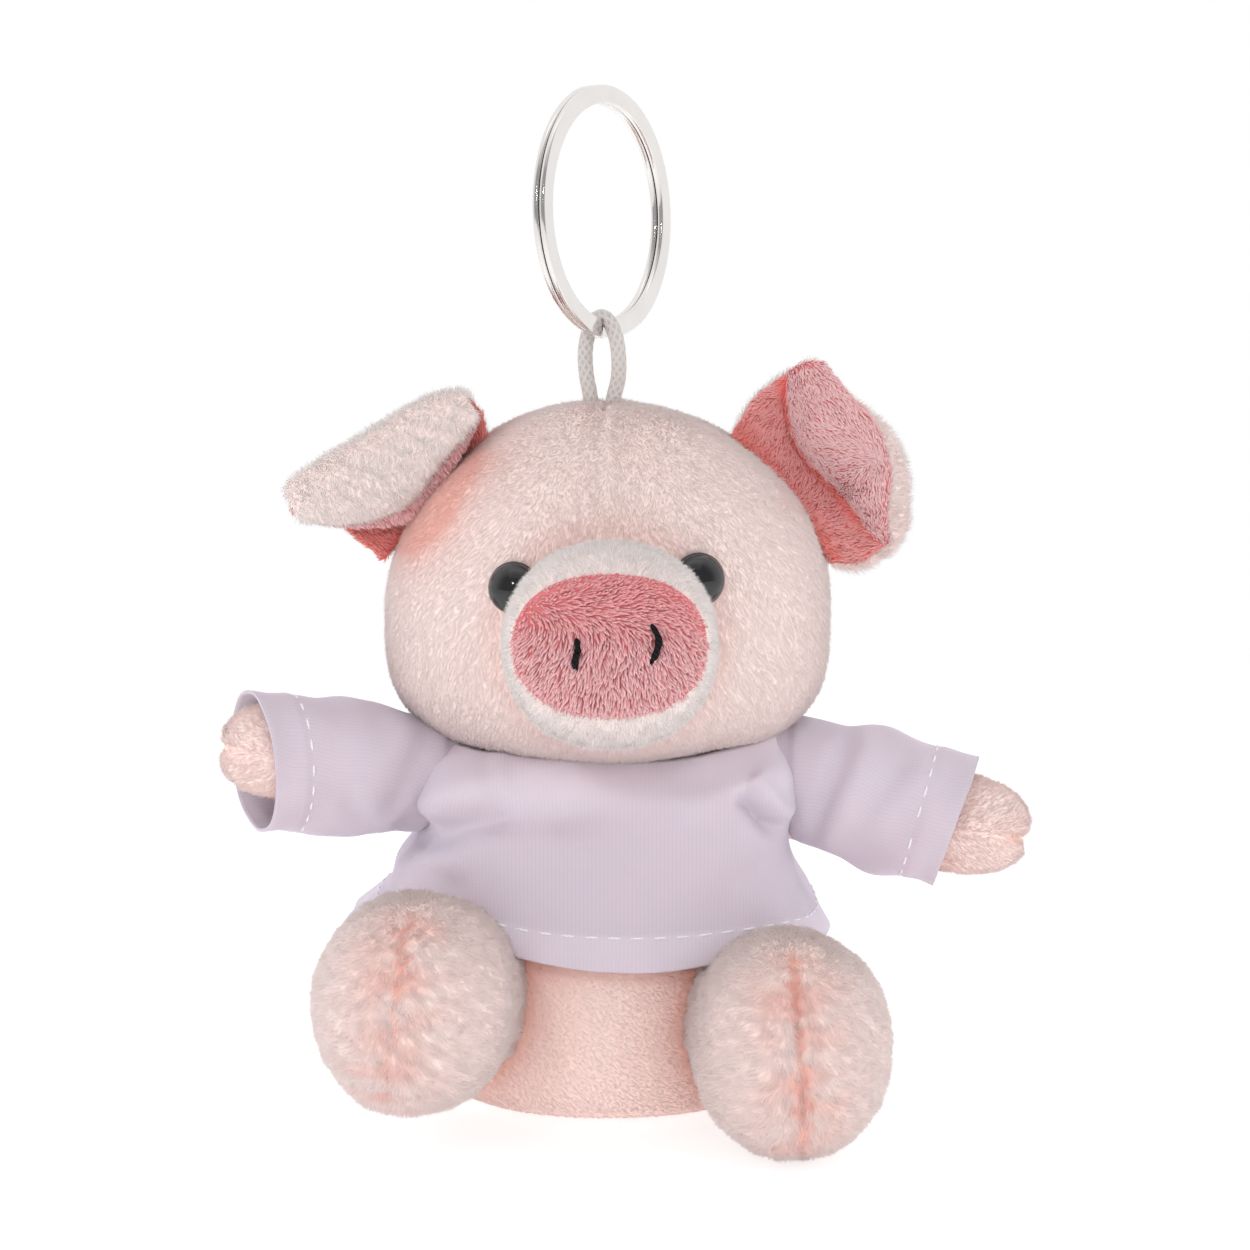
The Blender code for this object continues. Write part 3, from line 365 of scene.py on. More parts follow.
def backingMaterial(name, light, deep, tintAndShadeTo):
    material, tree, shader = newMaterial(name, Roughness=0.95, Specular_IOR_Level=0.1)
    tintAndShadeMark = addNode(tree, "ShaderNodeAttribute", attribute_name="tintAndShade").outputs["Fac"]
    knit = useGroup(tree, backingGroup, {"Place": objectPlace(tree), "Light": light, "Deep": deep,
                                         "Size": 900.0, "TintAndShade": tintAndShadeMark, "TintAndShadeTo": tintAndShadeTo})
    tree.links.new(knit["Colour"], shader.inputs["Base Color"])
    setBump(tree, shader, knit["Height"], 0.4, 0.0002)
    return material


# the fourth colour of each plush is painted shade: crevices, clefts, folds and seams turn towards it
palePlush = plushMaterial("palePlush", dict(
    root=rgb(0.95, 0.75, 0.71), body=rgb(0.96, 0.81, 0.78), tip=rgb(0.97, 0.86, 0.84),
    tintAndShade=rgb(0.95, 0.47, 0.41), tintAndShadeShare=0.85, strandShade=0.04, sheen=0.45,
    sheenTint=rgb(1.0, 0.90, 0.88)))
creamPlush = plushMaterial("creamPlush", dict(
    root=rgb(0.985, 0.885, 0.86), body=rgb(0.99, 0.92, 0.90), tip=rgb(0.99, 0.945, 0.93),
    tintAndShade=rgb(0.95, 0.56, 0.52), tintAndShadeShare=0.75, strandShade=0.02, sheen=0.05,
    sheenTint=rgb(1.0, 0.94, 0.93)))
pinkPlush = plushMaterial("pinkPlush", dict(
    root=rgb(0.64, 0.16, 0.18), body=rgb(0.78, 0.34, 0.36), tip=rgb(0.88, 0.61, 0.62),
    tintAndShade=rgb(0.82, 0.19, 0.19), tintAndShadeShare=0.85, strandShade=0.20, sheen=0.25,
    sheenTint=rgb(1.0, 0.85, 0.86)))
liningPlush = plushMaterial("liningPlush", dict(
    root=rgb(0.76, 0.26, 0.27), body=rgb(0.90, 0.47, 0.48), tip=rgb(0.97, 0.75, 0.76),
    tintAndShade=rgb(0.91, 0.23, 0.19), tintAndShadeShare=0.85, strandShade=0.12, sheen=0.25,
    sheenTint=rgb(1.0, 0.85, 0.86)))
# the last colour of each backing is painted shade for its crevices and seams
paleBacking = backingMaterial("paleBacking", rgb(0.95, 0.82, 0.79), rgb(0.93, 0.75, 0.71),
                              rgb(0.92, 0.48, 0.38))
pinkBacking = backingMaterial("pinkBacking", rgb(0.72, 0.24, 0.25), rgb(0.62, 0.16, 0.17),
                              rgb(0.66, 0.10, 0.08))

shortPile = dict(perSquareMm=26.2, length=0.95, width=0.142, lean=0.72, stray=0.13, sink=0.1, droop=0.0,
                 tuft=0.06, tuftSize=2.2, ownShade=0.6)
fluffPile = dict(shortPile, length=1.3, lean=0.62, stray=0.15, tuft=0.12, tuftSize=2.6, ownShade=1.0)
strokePile = dict(perSquareMm=13.0, length=1.5, width=0.28, lean=0.7, stray=0.11, sink=0.1, droop=0.05,
                  tuft=0.14, tuftSize=2.0, middle=0.7, full=0.95, arch=0.08, ownShade=0.7)

# camera and light

camera = dict(target=(2.0, 0.0, 57.4), distance=620.0, tilt=8.0, pixelsFocal=5196.0, pixelsWide=1250.0)
lens = bpy.data.cameras.new("camera")
lens.sensor_width = 36.0
lens.lens = camera["pixelsFocal"] / camera["pixelsWide"] * lens.sensor_width
lens.clip_start, lens.clip_end = 0.05, 20.0
cameraObject = bpy.data.objects.new("camera", lens)
bpy.context.scene.collection.objects.link(cameraObject)
tilt = math.radians(camera["tilt"])
back = np.array([0.0, -math.cos(tilt), math.sin(tilt)]) * camera["distance"]
cameraObject.location = (np.array(camera["target"]) + toyAxis + back) * mm
cameraObject.rotation_euler = (math.pi / 2 - tilt, 0.0, 0.0)
bpy.context.scene.camera = cameraObject
bpy.context.scene.view_settings.view_transform = "Standard"

studio = dict(aimHeight=55.0, worldStrength=0.77, worldLean=0.05, frontShine=0.35)
# place in mm about the toy, size in m, power in watts, whether polished surfaces show it, and colour
lamps = dict(
    leftLamp=((-680.0, -60.0, 200.0), 0.8, 1.4, False, (1.0, 0.995, 0.99)),
    rightLamp=((690.0, -40.0, 190.0), 0.8, 1.25, False, (0.99, 0.995, 1.0)),
    frontLamp=((20.0, -760.0, 5.0), 0.9, 2.2, False, (1.0, 1.0, 1.0)),
    backLamp=((60.0, 560.0, 560.0), 0.8, 1.3, False, (1.0, 1.0, 1.0)),
    topLamp=((-40.0, -260.0, 780.0), 0.7, 0.5, True, (1.0, 1.0, 1.0)),
    catchLamp=((-190.0, -560.0, 330.0), 0.04, 0.30, True, (1.0, 1.0, 1.0)))
for name, (place, size, watts, shows, colour) in lamps.items():
    light = bpy.data.lights.new(name, "AREA")
    light.size, light.energy, light.color = size, watts, colour
    lampObject = bpy.data.objects.new(name, light)
    lampObject.location = (np.array(place) + toyAxis) * mm
    aim = (toyAxis + zWay * studio["aimHeight"]) * mm - np.array(lampObject.location)
    pitch = math.atan2(math.hypot(aim[0], aim[1]), -aim[2])
    lampObject.rotation_euler = (pitch, 0.0, math.atan2(aim[1], aim[0]) - math.pi / 2)
    lampObject.visible_glossy = shows
    bpy.context.scene.collection.objects.link(lampObject)

world = bpy.data.worlds.new("studio")
bpy.context.scene.world = world
world.use_nodes = True
sky = world.node_tree
path = addNode(sky, "ShaderNodeLightPath").outputs
direction = addNode(sky, "ShaderNodeSeparateXYZ", {
    0: addNode(sky, "ShaderNodeTexCoord").outputs["Generated"]}).outputs
leaning = calc(sky, "MULTIPLY_ADD", direction["Y"], studio["worldLean"], studio["worldStrength"])
# polished surfaces see the white room behind and beside the toy, and a dimmer one in front of it
inShine = addNode(sky, "ShaderNodeMapRange", {"Value": direction["Y"], "From Min": -0.5, "From Max": -0.05,
                                              "To Min": studio["frontShine"], "To Max": 1.0}).outputs[0]
shine = addNode(sky, "ShaderNodeMix", {0: path["Is Glossy Ray"], 2: leaning, 3: inShine}).outputs[0]
worldLight = addNode(sky, "ShaderNodeMix", {0: path["Is Camera Ray"], 2: shine, 3: 1.0}).outputs[0]
sky.links.new(worldLight, sky.nodes["Background"].inputs["Strength"])
sky.nodes["Background"].inputs["Color"].default_value = rgb(1.0, 1.0, 1.0)

# the sheet under and behind the toy: flat, then swept up on a quarter circle
sweep = dict(halfWidth=1400.0, front=-900.0, bend=1300.0, radius=500.0, top=1400.0)
turn = np.linspace(0, math.pi / 2, 13)
profile = np.concatenate([[[sweep["front"], 0.0]], np.stack([
    sweep["bend"] + sweep["radius"] * np.sin(turn), sweep["radius"] * (1 - np.cos(turn))], 1),
    [[sweep["bend"] + sweep["radius"], sweep["top"]]]])
sheetPoints = np.array([(side * sweep["halfWidth"], *place) for place in profile for side in (-1, 1)])
paper, tree, shader = newMaterial("whitePaper", Roughness=0.9, Specular_IOR_Level=0.05)
shader.inputs["Base Color"].default_value = rgb(0.93, 0.93, 0.93)
path = addNode(tree, "ShaderNodeLightPath").outputs
glow = addNode(tree, "ShaderNodeEmission", {"Color": rgb(1.0, 1.0, 1.0), "Strength": 1.0}).outputs[0]
spot = addNode(tree, "ShaderNodeVectorMath", {0: objectPlace(tree)}, operation="LENGTH").outputs["Value"]
farShare = addNode(tree, "ShaderNodeMapRange", {"Value": spot, "From Min": 0.06, "From Max": 0.40,
                                                "To Min": 0.45, "To Max": 1.0}).outputs[0]
seen = calc(tree, "MULTIPLY", calc(tree, "MAXIMUM", path["Is Camera Ray"], path["Is Glossy Ray"]), farShare)
shader.inputs["Emission Color"].default_value = rgb(1.0, 1.0, 1.0)
shader.inputs["Emission Strength"].default_value = 0.42  # a sheet lit a little from beneath
paperMix = addNode(tree, "ShaderNodeMixShader", {0: seen, 1: shader.outputs[0], 2: glow}).outputs[0]
tree.links.new(paperMix, tree.nodes["Material Output"].inputs["Surface"])
backdrop = makePiece("backdrop", sheetPoints, [gridFaces(len(profile), 2, around=False)], paper)
print("camera, light and backdrop")

# head

head = dict(middle=59.0, halfWidth=26.35, halfDepth=22.4, crown=25.0, crownPower=2.0, jaw=16.7,
            jawPower=3.2, power=2.1, rows=72, turnPoints=110, seamWidth=0.7, seamDepth=0.25, seamFrom=74.0,
            lump=0.18, lumpSize=16.0, neck=42.3, chin=40.5, muzzleAt=58.6, muzzleHalf=(12.0, 11.6),
            eyesAt=((-10.9, 64.4), (10.6, 65.4)), eyeHalf=2.2, earAt=(20.6, 72.3),
            flapEdge=[(-14.6, 80.8), (-17.3, 77.4), (-19.0, 74.6), (-20.4, 72.0), (-23.4, 69.2)])


def roundEnd(t, power):
    # a quarter of a drawn-out circle for t from 0 to 1: how far along it is, and how wide it still is
    angle = math.pi / 2 * t ** (power / 2)
    return np.sin(angle) ** (2 / power), np.cos(angle) ** (2 / power)


def ovoid(form):
    # rings stacked up the axis, with a curve of its own above the middle and below it
    t = np.linspace(-1, 1, form["rows"] + 2)[1:-1]
    height, wide = roundEnd(np.abs(t), np.where(t < 0, form["jawPower"], form["crownPower"]))
    z = form["middle"] + np.sign(t) * height * np.where(t < 0, form["jaw"], form["crown"])
    path = np.stack([0 * z, 0 * z, z], 1)
    grid = rings(path, xWay, yWay, form["halfWidth"] * wide, form["halfDepth"] * wide, form["power"],
                 form["turnPoints"])
    return closedForm(grid, [0, 0, form["middle"] - form["jaw"]], [0, 0, form["middle"] + form["crown"]])


points, faces = ovoid(head)
skin = skinOf(points, faces)
seam = hill(points[:, 0], 0.0, head["seamWidth"]) * ease((points[:, 2] - head["seamFrom"]) / 6)
rise = ripple(points, head["lumpSize"], 5) * head["lump"] - seam * head["seamDepth"]
points = points + skin["normal"] * rise[:, None]
skin = skinOf(points, faces)
x, y, z = points.T
part = ease(1 - np.abs(x) / 3.0) * ease((z - 72) / 6)
swirl = ripple(points, 14.0, 61) * 0.25
lie = np.stack([x * 0.03 + np.sign(x) * part * 0.5 + swirl, -0.25 + 0 * x, -1 + 0 * x], 1)
# no pile on the neck inside the shirt, behind the muzzle and behind the eyes
halfAcross, halfUp = head["muzzleHalf"]
muzzleRoot = ((x / halfAcross) ** 2 + ((z - head["muzzleAt"]) / halfUp) ** 2 < 1) & (y < 0)
eyeRoot = (np.min([np.hypot(x - a, z - b) for a, b in head["eyesAt"]], 0) < head["eyeHalf"]) & (y < 0)
cover = ease((z - head["neck"]) / 0.8) * ~muzzleRoot * ~eyeRoot
# painted shade and painted red bounce light: pinker beside the fold of the right ear, at the left ear's foot,
# round the muzzle and under the chin
flapEdge = spread(head["flapEdge"], np.linspace(0, 1, 30))
fromFlap = np.hypot(x[:, None] - flapEdge[:, 0], z[:, None] - flapEdge[:, 1]).min(1)
fromEar = np.hypot(x - head["earAt"][0], z - head["earAt"][1]) + 0.5 * np.abs(y + 2)
glow = (1.2 * hill(fromFlap, 0, 2.2) * ease((80.5 - z) / 3.0) + 0.28 * hill(fromFlap, 0, 5.0)) * (y < 2)
glow = glow + 0.3 * hill(fromEar, 0, 3.0)
nearMuzzle = hill(np.hypot(x / 12.6, (z - 59.0) / 12.2), 1.0, 0.16) * (y < 0)
tintAndShade = glow + 0.22 * nearMuzzle + 0.4 * hill(z, head["chin"], 1.8) + 0.06
longer = 0.95 + 0.2 * part
headPiece = makePiece("head_plush", points, faces, paleBacking, marks=dict(tintAndShade=np.clip(tintAndShade, 0, 1) * 0.8))
headPile = growPile("head_pile", skin, palePlush, shortPile, lie, cover, tintAndShade, longer, seed=3)
for piece in [headPiece] + headPile:
    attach(piece, "head")
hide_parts("head_cover", "head_filling")
print("head")

# muzzle: a barrel that tapers from above and below to the oval of the snout

muzzle = dict(centre=(0.3, -28.0, 59.0), pitch=8.0, halfWidth=11.7, halfTall=11.3, endWidth=10.7,
              endTall=7.8, back=14.0, reach=2.2, rounding=5.4, dome=0.6, barrelRows=14, power=2.15,
              turnPoints=84)
muzzleCentre = np.array(muzzle["centre"])
pitch = math.radians(muzzle["pitch"])
muzzleWay = np.array([0.0, -math.cos(pitch), math.sin(pitch)])
muzzleUp = np.array([0.0, math.sin(pitch), math.cos(pitch)])
barrel = np.linspace(-muzzle["back"], muzzle["reach"], muzzle["barrelRows"])
curve = np.linspace(0, math.pi / 2, 15)[1:]
flat = np.linspace(1, 0, 9)[1:-1]
along = np.concatenate([barrel, muzzle["reach"] + muzzle["rounding"] * np.sin(curve),
                        muzzle["reach"] + muzzle["rounding"] + muzzle["dome"] * (1 - flat ** 2)])
swell = 1 + 0.02 * np.sin(np.linspace(0, 3, muzzle["barrelRows"]))
halfWide, halfTall = (np.concatenate([muzzle[root] * swell,
                                      muzzle[end] + (muzzle[root] - muzzle[end]) * np.cos(curve),
                                      muzzle[end] * flat])
                      for root, end in (("halfWidth", "endWidth"), ("halfTall", "endTall")))
path = muzzleCentre + along[:, None] * muzzleWay
grid = rings(path, xWay, muzzleUp, halfWide, halfTall, muzzle["power"], muzzle["turnPoints"])
points, faces = closedForm(grid, path[0], muzzleCentre + (along[-1] + 0.1) * muzzleWay)
muzzlePiece = makePiece("muzzle_plush", points, faces, paleBacking)
skin = skinOf(points, faces)
depth = (points - muzzleCentre) @ muzzleWay
beside = points[:, 0] - muzzleCentre[0]
above = (points - muzzleCentre) @ muzzleUp
oval = np.hypot(beside / muzzle["endWidth"], above / muzzle["endTall"])
radial = unit(np.outer(beside, xWay) + np.outer(above, muzzleUp))
spreading = 0.9 * ease((depth - 1.5) / 1.5)
lie = np.outer(0.3 - 0.25 * ease((depth - 1) / 2), muzzleWay) + radial * spreading[:, None] - 0.12 * zWay
cover = ease((depth + 10.5) / 1.5) * ((oval > 1.0) | (depth < 1))
# painted shade: deeper pink at the back of the muzzle, where it meets the head
tintAndShade = 0.75 * ease((-4.5 - depth) / 3.5) + 0.06
longer = 0.75 + 0.2 * ease(depth / 3)
muzzlePile = growPile("muzzle_pile", skin, creamPlush, dict(fluffPile, tuft=0.16, ownShade=0.9), lie, cover,
                      tintAndShade, longer, seed=5)
for piece in [muzzlePiece] + muzzlePile:
    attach(piece, "head")
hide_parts("muzzle_cover", "muzzle_filling")

# snout: the oval that closes the muzzle, a thin dome with its own coarse pile
snout = dict(halfWidth=10.9, halfTall=8.0, thick=0.7, dome=0.8, lift=0.1, sunk=0.6, power=2.3, rows=16,
             turnPoints=72)
share = np.linspace(0, 1, snout["rows"] + 1)[1:]
front = muzzle["reach"] + muzzle["rounding"] + snout["lift"]
face = front + snout["thick"] + snout["dome"] * (1 - share ** 2) - 0.5 * ease((share - 0.85) / 0.15)
behind = np.full(len(share), front - snout["sunk"])
path = muzzleCentre + np.concatenate([behind[1:], face[::-1]])[:, None] * muzzleWay
halfShare = np.concatenate([share[1:], share[::-1]])
grid = rings(path, xWay, muzzleUp, snout["halfWidth"] * halfShare, snout["halfTall"] * halfShare,
             snout["power"], snout["turnPoints"])
points, faces = closedForm(grid, muzzleCentre + (front - snout["sunk"]) * muzzleWay,
                           muzzleCentre + (front + snout["thick"] + snout["dome"]) * muzzleWay)
snoutPiece = makePiece("snout_plush", points, faces, pinkBacking)
skin = skinOf(points, faces)
beside = points[:, 0] - muzzleCentre[0]
above = (points - muzzleCentre) @ muzzleUp
topShare = ease((above + 0.12 * beside + 0.2) / 5.6)
# degrees from the right: down over most of the oval, fanning out, and to the right along the top
fanned, across = 4.0 * beside * (1 - topShare), topShare * (106.0 - 52.0 * ease((beside - 1) / 8))
combed = np.radians(-90.0 + fanned + across)
lie = np.stack([np.cos(combed), 0 * beside, np.sin(combed)], 1)
fromRim = 1 - np.hypot(beside / snout["halfWidth"], above / snout["halfTall"])
cover = ((skin["normal"] @ muzzleWay) > 0.2) * ease(fromRim / 0.06 + 0.3)
# deeper pink towards the top of the oval
tintAndShade = 0.42 * ease((above + 2) / 8) + 0.06
longer = 0.55 + 0.45 * ease(fromRim / 0.25) - 0.2 * topShare
snoutPile = growPile("snout_pile", skin, pinkPlush, strokePile, lie, cover, tintAndShade, longer, seed=7)
for piece in [snoutPiece] + snoutPile:
    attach(piece, "head")
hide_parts("snout_patch")

# nostrils: black thread pulled into the pile, thick in the middle and thin at both ends
nostril = dict(radius=0.42, lift=1.5, points=28, turnPoints=10, twist=19.2)
nostrilLines = dict(left=[(5.0, 62.6), (5.75, 61.2), (5.5, 59.6), (4.7, 58.0)],
                    right=[(-3.4, 61.0), (-3.3, 59.9), (-3.6, 58.7), (-3.5, 57.2)])


def tubeAlong(path, radius, turnPoints):
    # rings of the given radius carried along a path, square to it, and the way it runs
    way = unit(np.gradient(path, axis=0))
    slanting = np.array([0.3, 0.2, 1.0] if abs(way[:, 2]).mean() < 0.8 else [1.0, 0.2, 0.1])
    side = unit(np.cross(way, slanting))
    up = np.cross(way, side)
    return rings(path, side, up, radius, radius, 2.0, turnPoints), way


def spunThread(name, dark, light, scale, distortion, bump, **fixed):
    # two shades in slanting bands: painted shade between the twisted plies
    material, tree, shader = newMaterial(name, **fixed)
    wave = {"Vector": objectPlace(tree), "Scale": scale, "Distortion": distortion}
    ply = addNode(tree, "ShaderNodeTexWave", wave, bands_direction="DIAGONAL").outputs[1]
    setColour(tree, shader, ply, dark, light)
    if bump:
        setBump(tree, shader, ply, bump, 0.00008)
    return material


blackThread = spunThread("blackThread", rgb(0.003, 0.003, 0.003), rgb(0.012, 0.011, 0.011), 900.0, 1.5, 0.6,
                         Roughness=0.7, Specular_IOR_Level=0.15)
for side, line in nostrilLines.items():
    t = np.linspace(0, 1, nostril["points"])
    xz = spread(line, t)
    above = xz[:, 1] - muzzleCentre[2]
    out = front + snout["thick"] + snout["dome"] * (1 - (xz[:, 0] / 11) ** 2 - (above / 8.2) ** 2) + 0.3
    out = out + nostril["lift"] * np.sin(math.pi * t) ** 0.5 - 0.5  # both ends go down into the pile
    path = muzzleCentre + out[:, None] * muzzleWay
    path[:, [0, 2]] = xz
    size = nostril["radius"] * (0.35 + 0.65 * np.sin(math.pi * np.clip(t, 0.02, 0.98)) ** 0.5)
    size = size * (1 + 0.12 * np.sin(t * nostril["twist"]))
    grid, way = tubeAlong(path, size, nostril["turnPoints"])
    points, faces = closedForm(grid, path[0] - way[0] * 0.05, path[-1] + way[-1] * 0.05)
    piece = makePiece("nostril_thread_" + side, points, faces, blackThread)
    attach(piece, "head")
    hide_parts("nostril_stitch_" + side)
print("muzzle and snout")

# eyes: a polished dome with a low rim

eye = dict(radius=3.15, domeTall=2.2, domeShare=0.93, rim=0.28, stem=1.6, rows=22, turnPoints=56)
# the rim's four rings: share of the radius, and how far each stands out from the eye's place
rimRings = ((0.45, 0.98, 1.0, 0.97), (-eye["stem"], -0.5, -0.1, eye["rim"]))
domeFrom = eye["rim"] * 0.6
eyePlaces = dict(right=(-10.85, -20.0, 64.45), left=(10.55, -20.1, 65.5))
eyeBlack, tree, shader = newMaterial("eyeBlack", Roughness=0.07, Specular_IOR_Level=0.7)
dust = addNoise(tree, objectPlace(tree), 700.0, 3.0)
setColour(tree, shader, dust, rgb(0.004, 0.004, 0.005), rgb(0.012, 0.012, 0.014))
tree.links.new(calc(tree, "ADD", calc(tree, "MULTIPLY", dust, 0.08), 0.05), shader.inputs["Roughness"])
for side, centre in eyePlaces.items():
    a = np.linspace(0, 1, eye["rows"] + 1)[1:-1] * math.pi / 2
    half = eye["radius"] * np.concatenate([rimRings[0], np.cos(a) * eye["domeShare"]])
    out = np.concatenate([rimRings[1], domeFrom + eye["domeTall"] * np.sin(a)])
    facing = unit(np.array([centre[0] * 0.035, -1.0, 0.10]))
    sideWay = unit(np.cross(zWay, -facing))
    upWay = np.cross(facing, sideWay)
    path = np.array(centre) + out[:, None] * facing
    grid = rings(path, sideWay, upWay, half, half, 2.0, eye["turnPoints"])
    points, faces = closedForm(grid, np.array(centre) - facing * eye["stem"],
                               np.array(centre) + facing * (domeFrom + eye["domeTall"]))
    piece = makePiece("eye_dome_" + side, points, facingOut(points, faces, points - centre), eyeBlack)
    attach(piece, "head")
    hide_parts("eye_" + side)
    washer = frame["nodes"]["eye_washer_" + side]
    washer.data.materials.clear()
    washer.data.materials.append(eyeBlack)
print("eyes")

# body

body = dict(middle=15.6, halfWidth=21.3, halfDepth=19.4, crown=25.5, jaw=15.6, jawPower=5.2, crownPower=2.5,
            power=2.1, rows=64, turnPoints=100, seat=0.5, shirtFrom=26.5,
            legRoots=((16.5, 11.5), (-17.0, 12.5)), rootHalf=7.0, legEdge=10.5)
points, faces = ovoid(body)
points[:, 2] = np.maximum(points[:, 2], body["seat"])
skin = skinOf(points, faces)
x, y, z = points.T
# no pile under the shirt and behind the legs' roots, and less where it sits
legRoot = (np.min([np.hypot(x - a, z - b) for a, b in body["legRoots"]], 0) < body["rootHalf"]) & (y < -11)
cover = ease((body["shirtFrom"] - z) / 1.0) * ~legRoot * np.where(skin["normal"][:, 2] < -0.8, 0.3, 1.0)
lie = np.stack([0.9 + x * 0.02, 0 * x, -0.45 + 0 * x], 1)
# painted shade: pinker in the crevices beside the legs and under the hem
fromLeg = np.minimum(np.hypot(x - 21.3, z - 12.8), np.hypot(x + 22.3, (z - 16.0) * 0.95))
glow = 0.8 * hill(fromLeg, body["legEdge"], 2.6) + 0.3 * hill(fromLeg, body["legEdge"], 7.0)
tintAndShade = glow * ease((-5 - y) / 6) + 0.5 * ease((z - 16) / 6) * ease(-y / 6) + 0.14 + 0.05 * ease(-y / 6)
bodyPiece = makePiece("body_plush", points, faces, paleBacking, marks=dict(tintAndShade=np.clip(tintAndShade, 0, 1)))
bodyPile = growPile("body_pile", skin, palePlush, dict(shortPile, lean=0.82, tuft=0.0, ownShade=0.4),
                    lie, cover, tintAndShade, 0.6, seed=11)
for piece in [bodyPiece] + bodyPile:
    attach(piece, "torso")
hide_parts("body_cover", "body_filling")
print("body")

# legs: a thick short limb that ends in a rounded sole with a drawn-in upright seam

leg = dict(rootY=-7.0, ballY=-30.0, frontY=-42.2, rows=34, tipRows=44, turnPoints=150, frontPower=2.45,
           power=2.08, seat=0.4, seamDepth=0.25, seamWidth=0.55, soleFrom=-33.0, pileFrom=-7.5, lump=0.2,
           lumpSize=12.0)
legSides = dict(
    left=dict(root=(14.6, 11.0), ball=(21.25, 12.75), half=(10.95, 12.65), rootHalf=(7.6, 8.2), pull=1.0,
              seam=[(20.9, 27.5), (21.3, 20.0), (21.9, 12.0), (22.3, 5.0)]),
    right=dict(root=(-14.6, 12.5), ball=(-22.25, 17.8), half=(11.3, 12.3), rootHalf=(7.6, 8.2), pull=0.35,
               seam=[(-22.6, 28.6), (-23.4, 23.0), (-24.5, 16.6), (-25.0, 10.5)]))
for side, one in legSides.items():
    t = np.concatenate([np.linspace(0, 1, leg["rows"])[:-1], 1 + np.linspace(0, 1, leg["tipRows"] + 1)[:-1]])
    early, late = np.clip(t, 0, 1), np.clip(t - 1, 0, 1)
    reach, shrink = roundEnd(late, leg["frontPower"])
    grown = np.sin(early * math.pi / 2) ** 0.9
    y = leg["rootY"] + (leg["ballY"] - leg["rootY"]) * early + (leg["frontY"] - leg["ballY"]) * reach
    centre = np.array(one["root"]) + (np.array(one["ball"]) - np.array(one["root"])) * grown[:, None]
    halfSide, halfUp = ((r + (b - r) * grown) * shrink for r, b in zip(one["rootHalf"], one["half"]))
    path = np.stack([centre[:, 0], y, centre[:, 1]], 1)
    grid = rings(path, xWay, zWay, halfSide, halfUp, leg["power"], leg["turnPoints"])
    points, faces = closedForm(grid, path[0] + 1.5 * yWay, [path[-1][0], leg["frontY"], path[-1][2]])
    skin = skinOf(points, faces)
    seamX = np.interp(-points[:, 2], [-p[1] for p in one["seam"]], [p[0] for p in one["seam"]])
    onSole = ease((leg["soleFrom"] - points[:, 1]) / 6.0)
    fromSeam = points[:, 0] - seamX
    pucker = one["pull"] * (1 + 0.5 * ripple(points * zWay, 7.0, 41))
    inward = onSole * leg["seamDepth"] * hill(fromSeam, 0, leg["seamWidth"]) * pucker
    inward = inward + 0.6 * onSole * hill(fromSeam, 0, 3.2)
    rise = ripple(points, leg["lumpSize"], 9) * leg["lump"] - inward
    points = points + skin["normal"] * rise[:, None]
    points[:, 2] = np.maximum(points[:, 2], leg["seat"])
    skin = skinOf(points, faces)
    x, y, z = points.T
    away = np.tanh(fromSeam / 2.5) * (0.2 + 0.7 * ease((np.abs(fromSeam) - 1.5) / 5))
    nx, ny, nz = skin["normal"].T  # the pile runs forward over the top, down the sole and back at the sides
    lie = np.stack([away * onSole + (x - one["ball"][0]) * 0.03, 0.4 * (np.abs(nx) * (1 - onSole) - nz),
                    0.4 * ny - 0.1], 1)
    onSeam = onSole * hill(fromSeam + 0.5 * ripple(points, 2.6, 47), 0, leg["seamWidth"])
    cover = ease((leg["pileFrom"] - y) / 1.5)
    patchy = np.clip(0.6 + 0.6 * ripple(points, 5.0, 43), 0, 1.2)
    # the seam's own dark line with painted shade in its recess and the fuzz round it, and painted shade
    # towards the body
    tintAndShade = onSeam * one["pull"] * 0.5 + 0.42 * patchy * onSole * hill(fromSeam, 0, 4.5) + 0.08
    tintAndShade = tintAndShade + 0.35 * ease((y + 20) / 10)
    longer = 0.95 + 0.4 * onSole * hill(fromSeam, 0, 6.0) - 0.25 * onSeam * one["pull"]
    glow = np.clip(tintAndShade + onSeam, 0, 1)
    legPiece = makePiece(f"leg_plush_{side}", points, faces, paleBacking, marks=dict(tintAndShade=glow))
    legPile = growPile(f"leg_pile_{side}", skin, palePlush, dict(shortPile, tuft=0.2, lean=0.6), lie, cover,
                       tintAndShade, longer, seed=13 + len(side))
    for piece in [legPiece] + legPile:
        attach(piece, "leg_" + side)
    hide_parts("leg_cover_" + side, "leg_filling_" + side)
print("legs")

# arms: only the hands show, each with a cleft

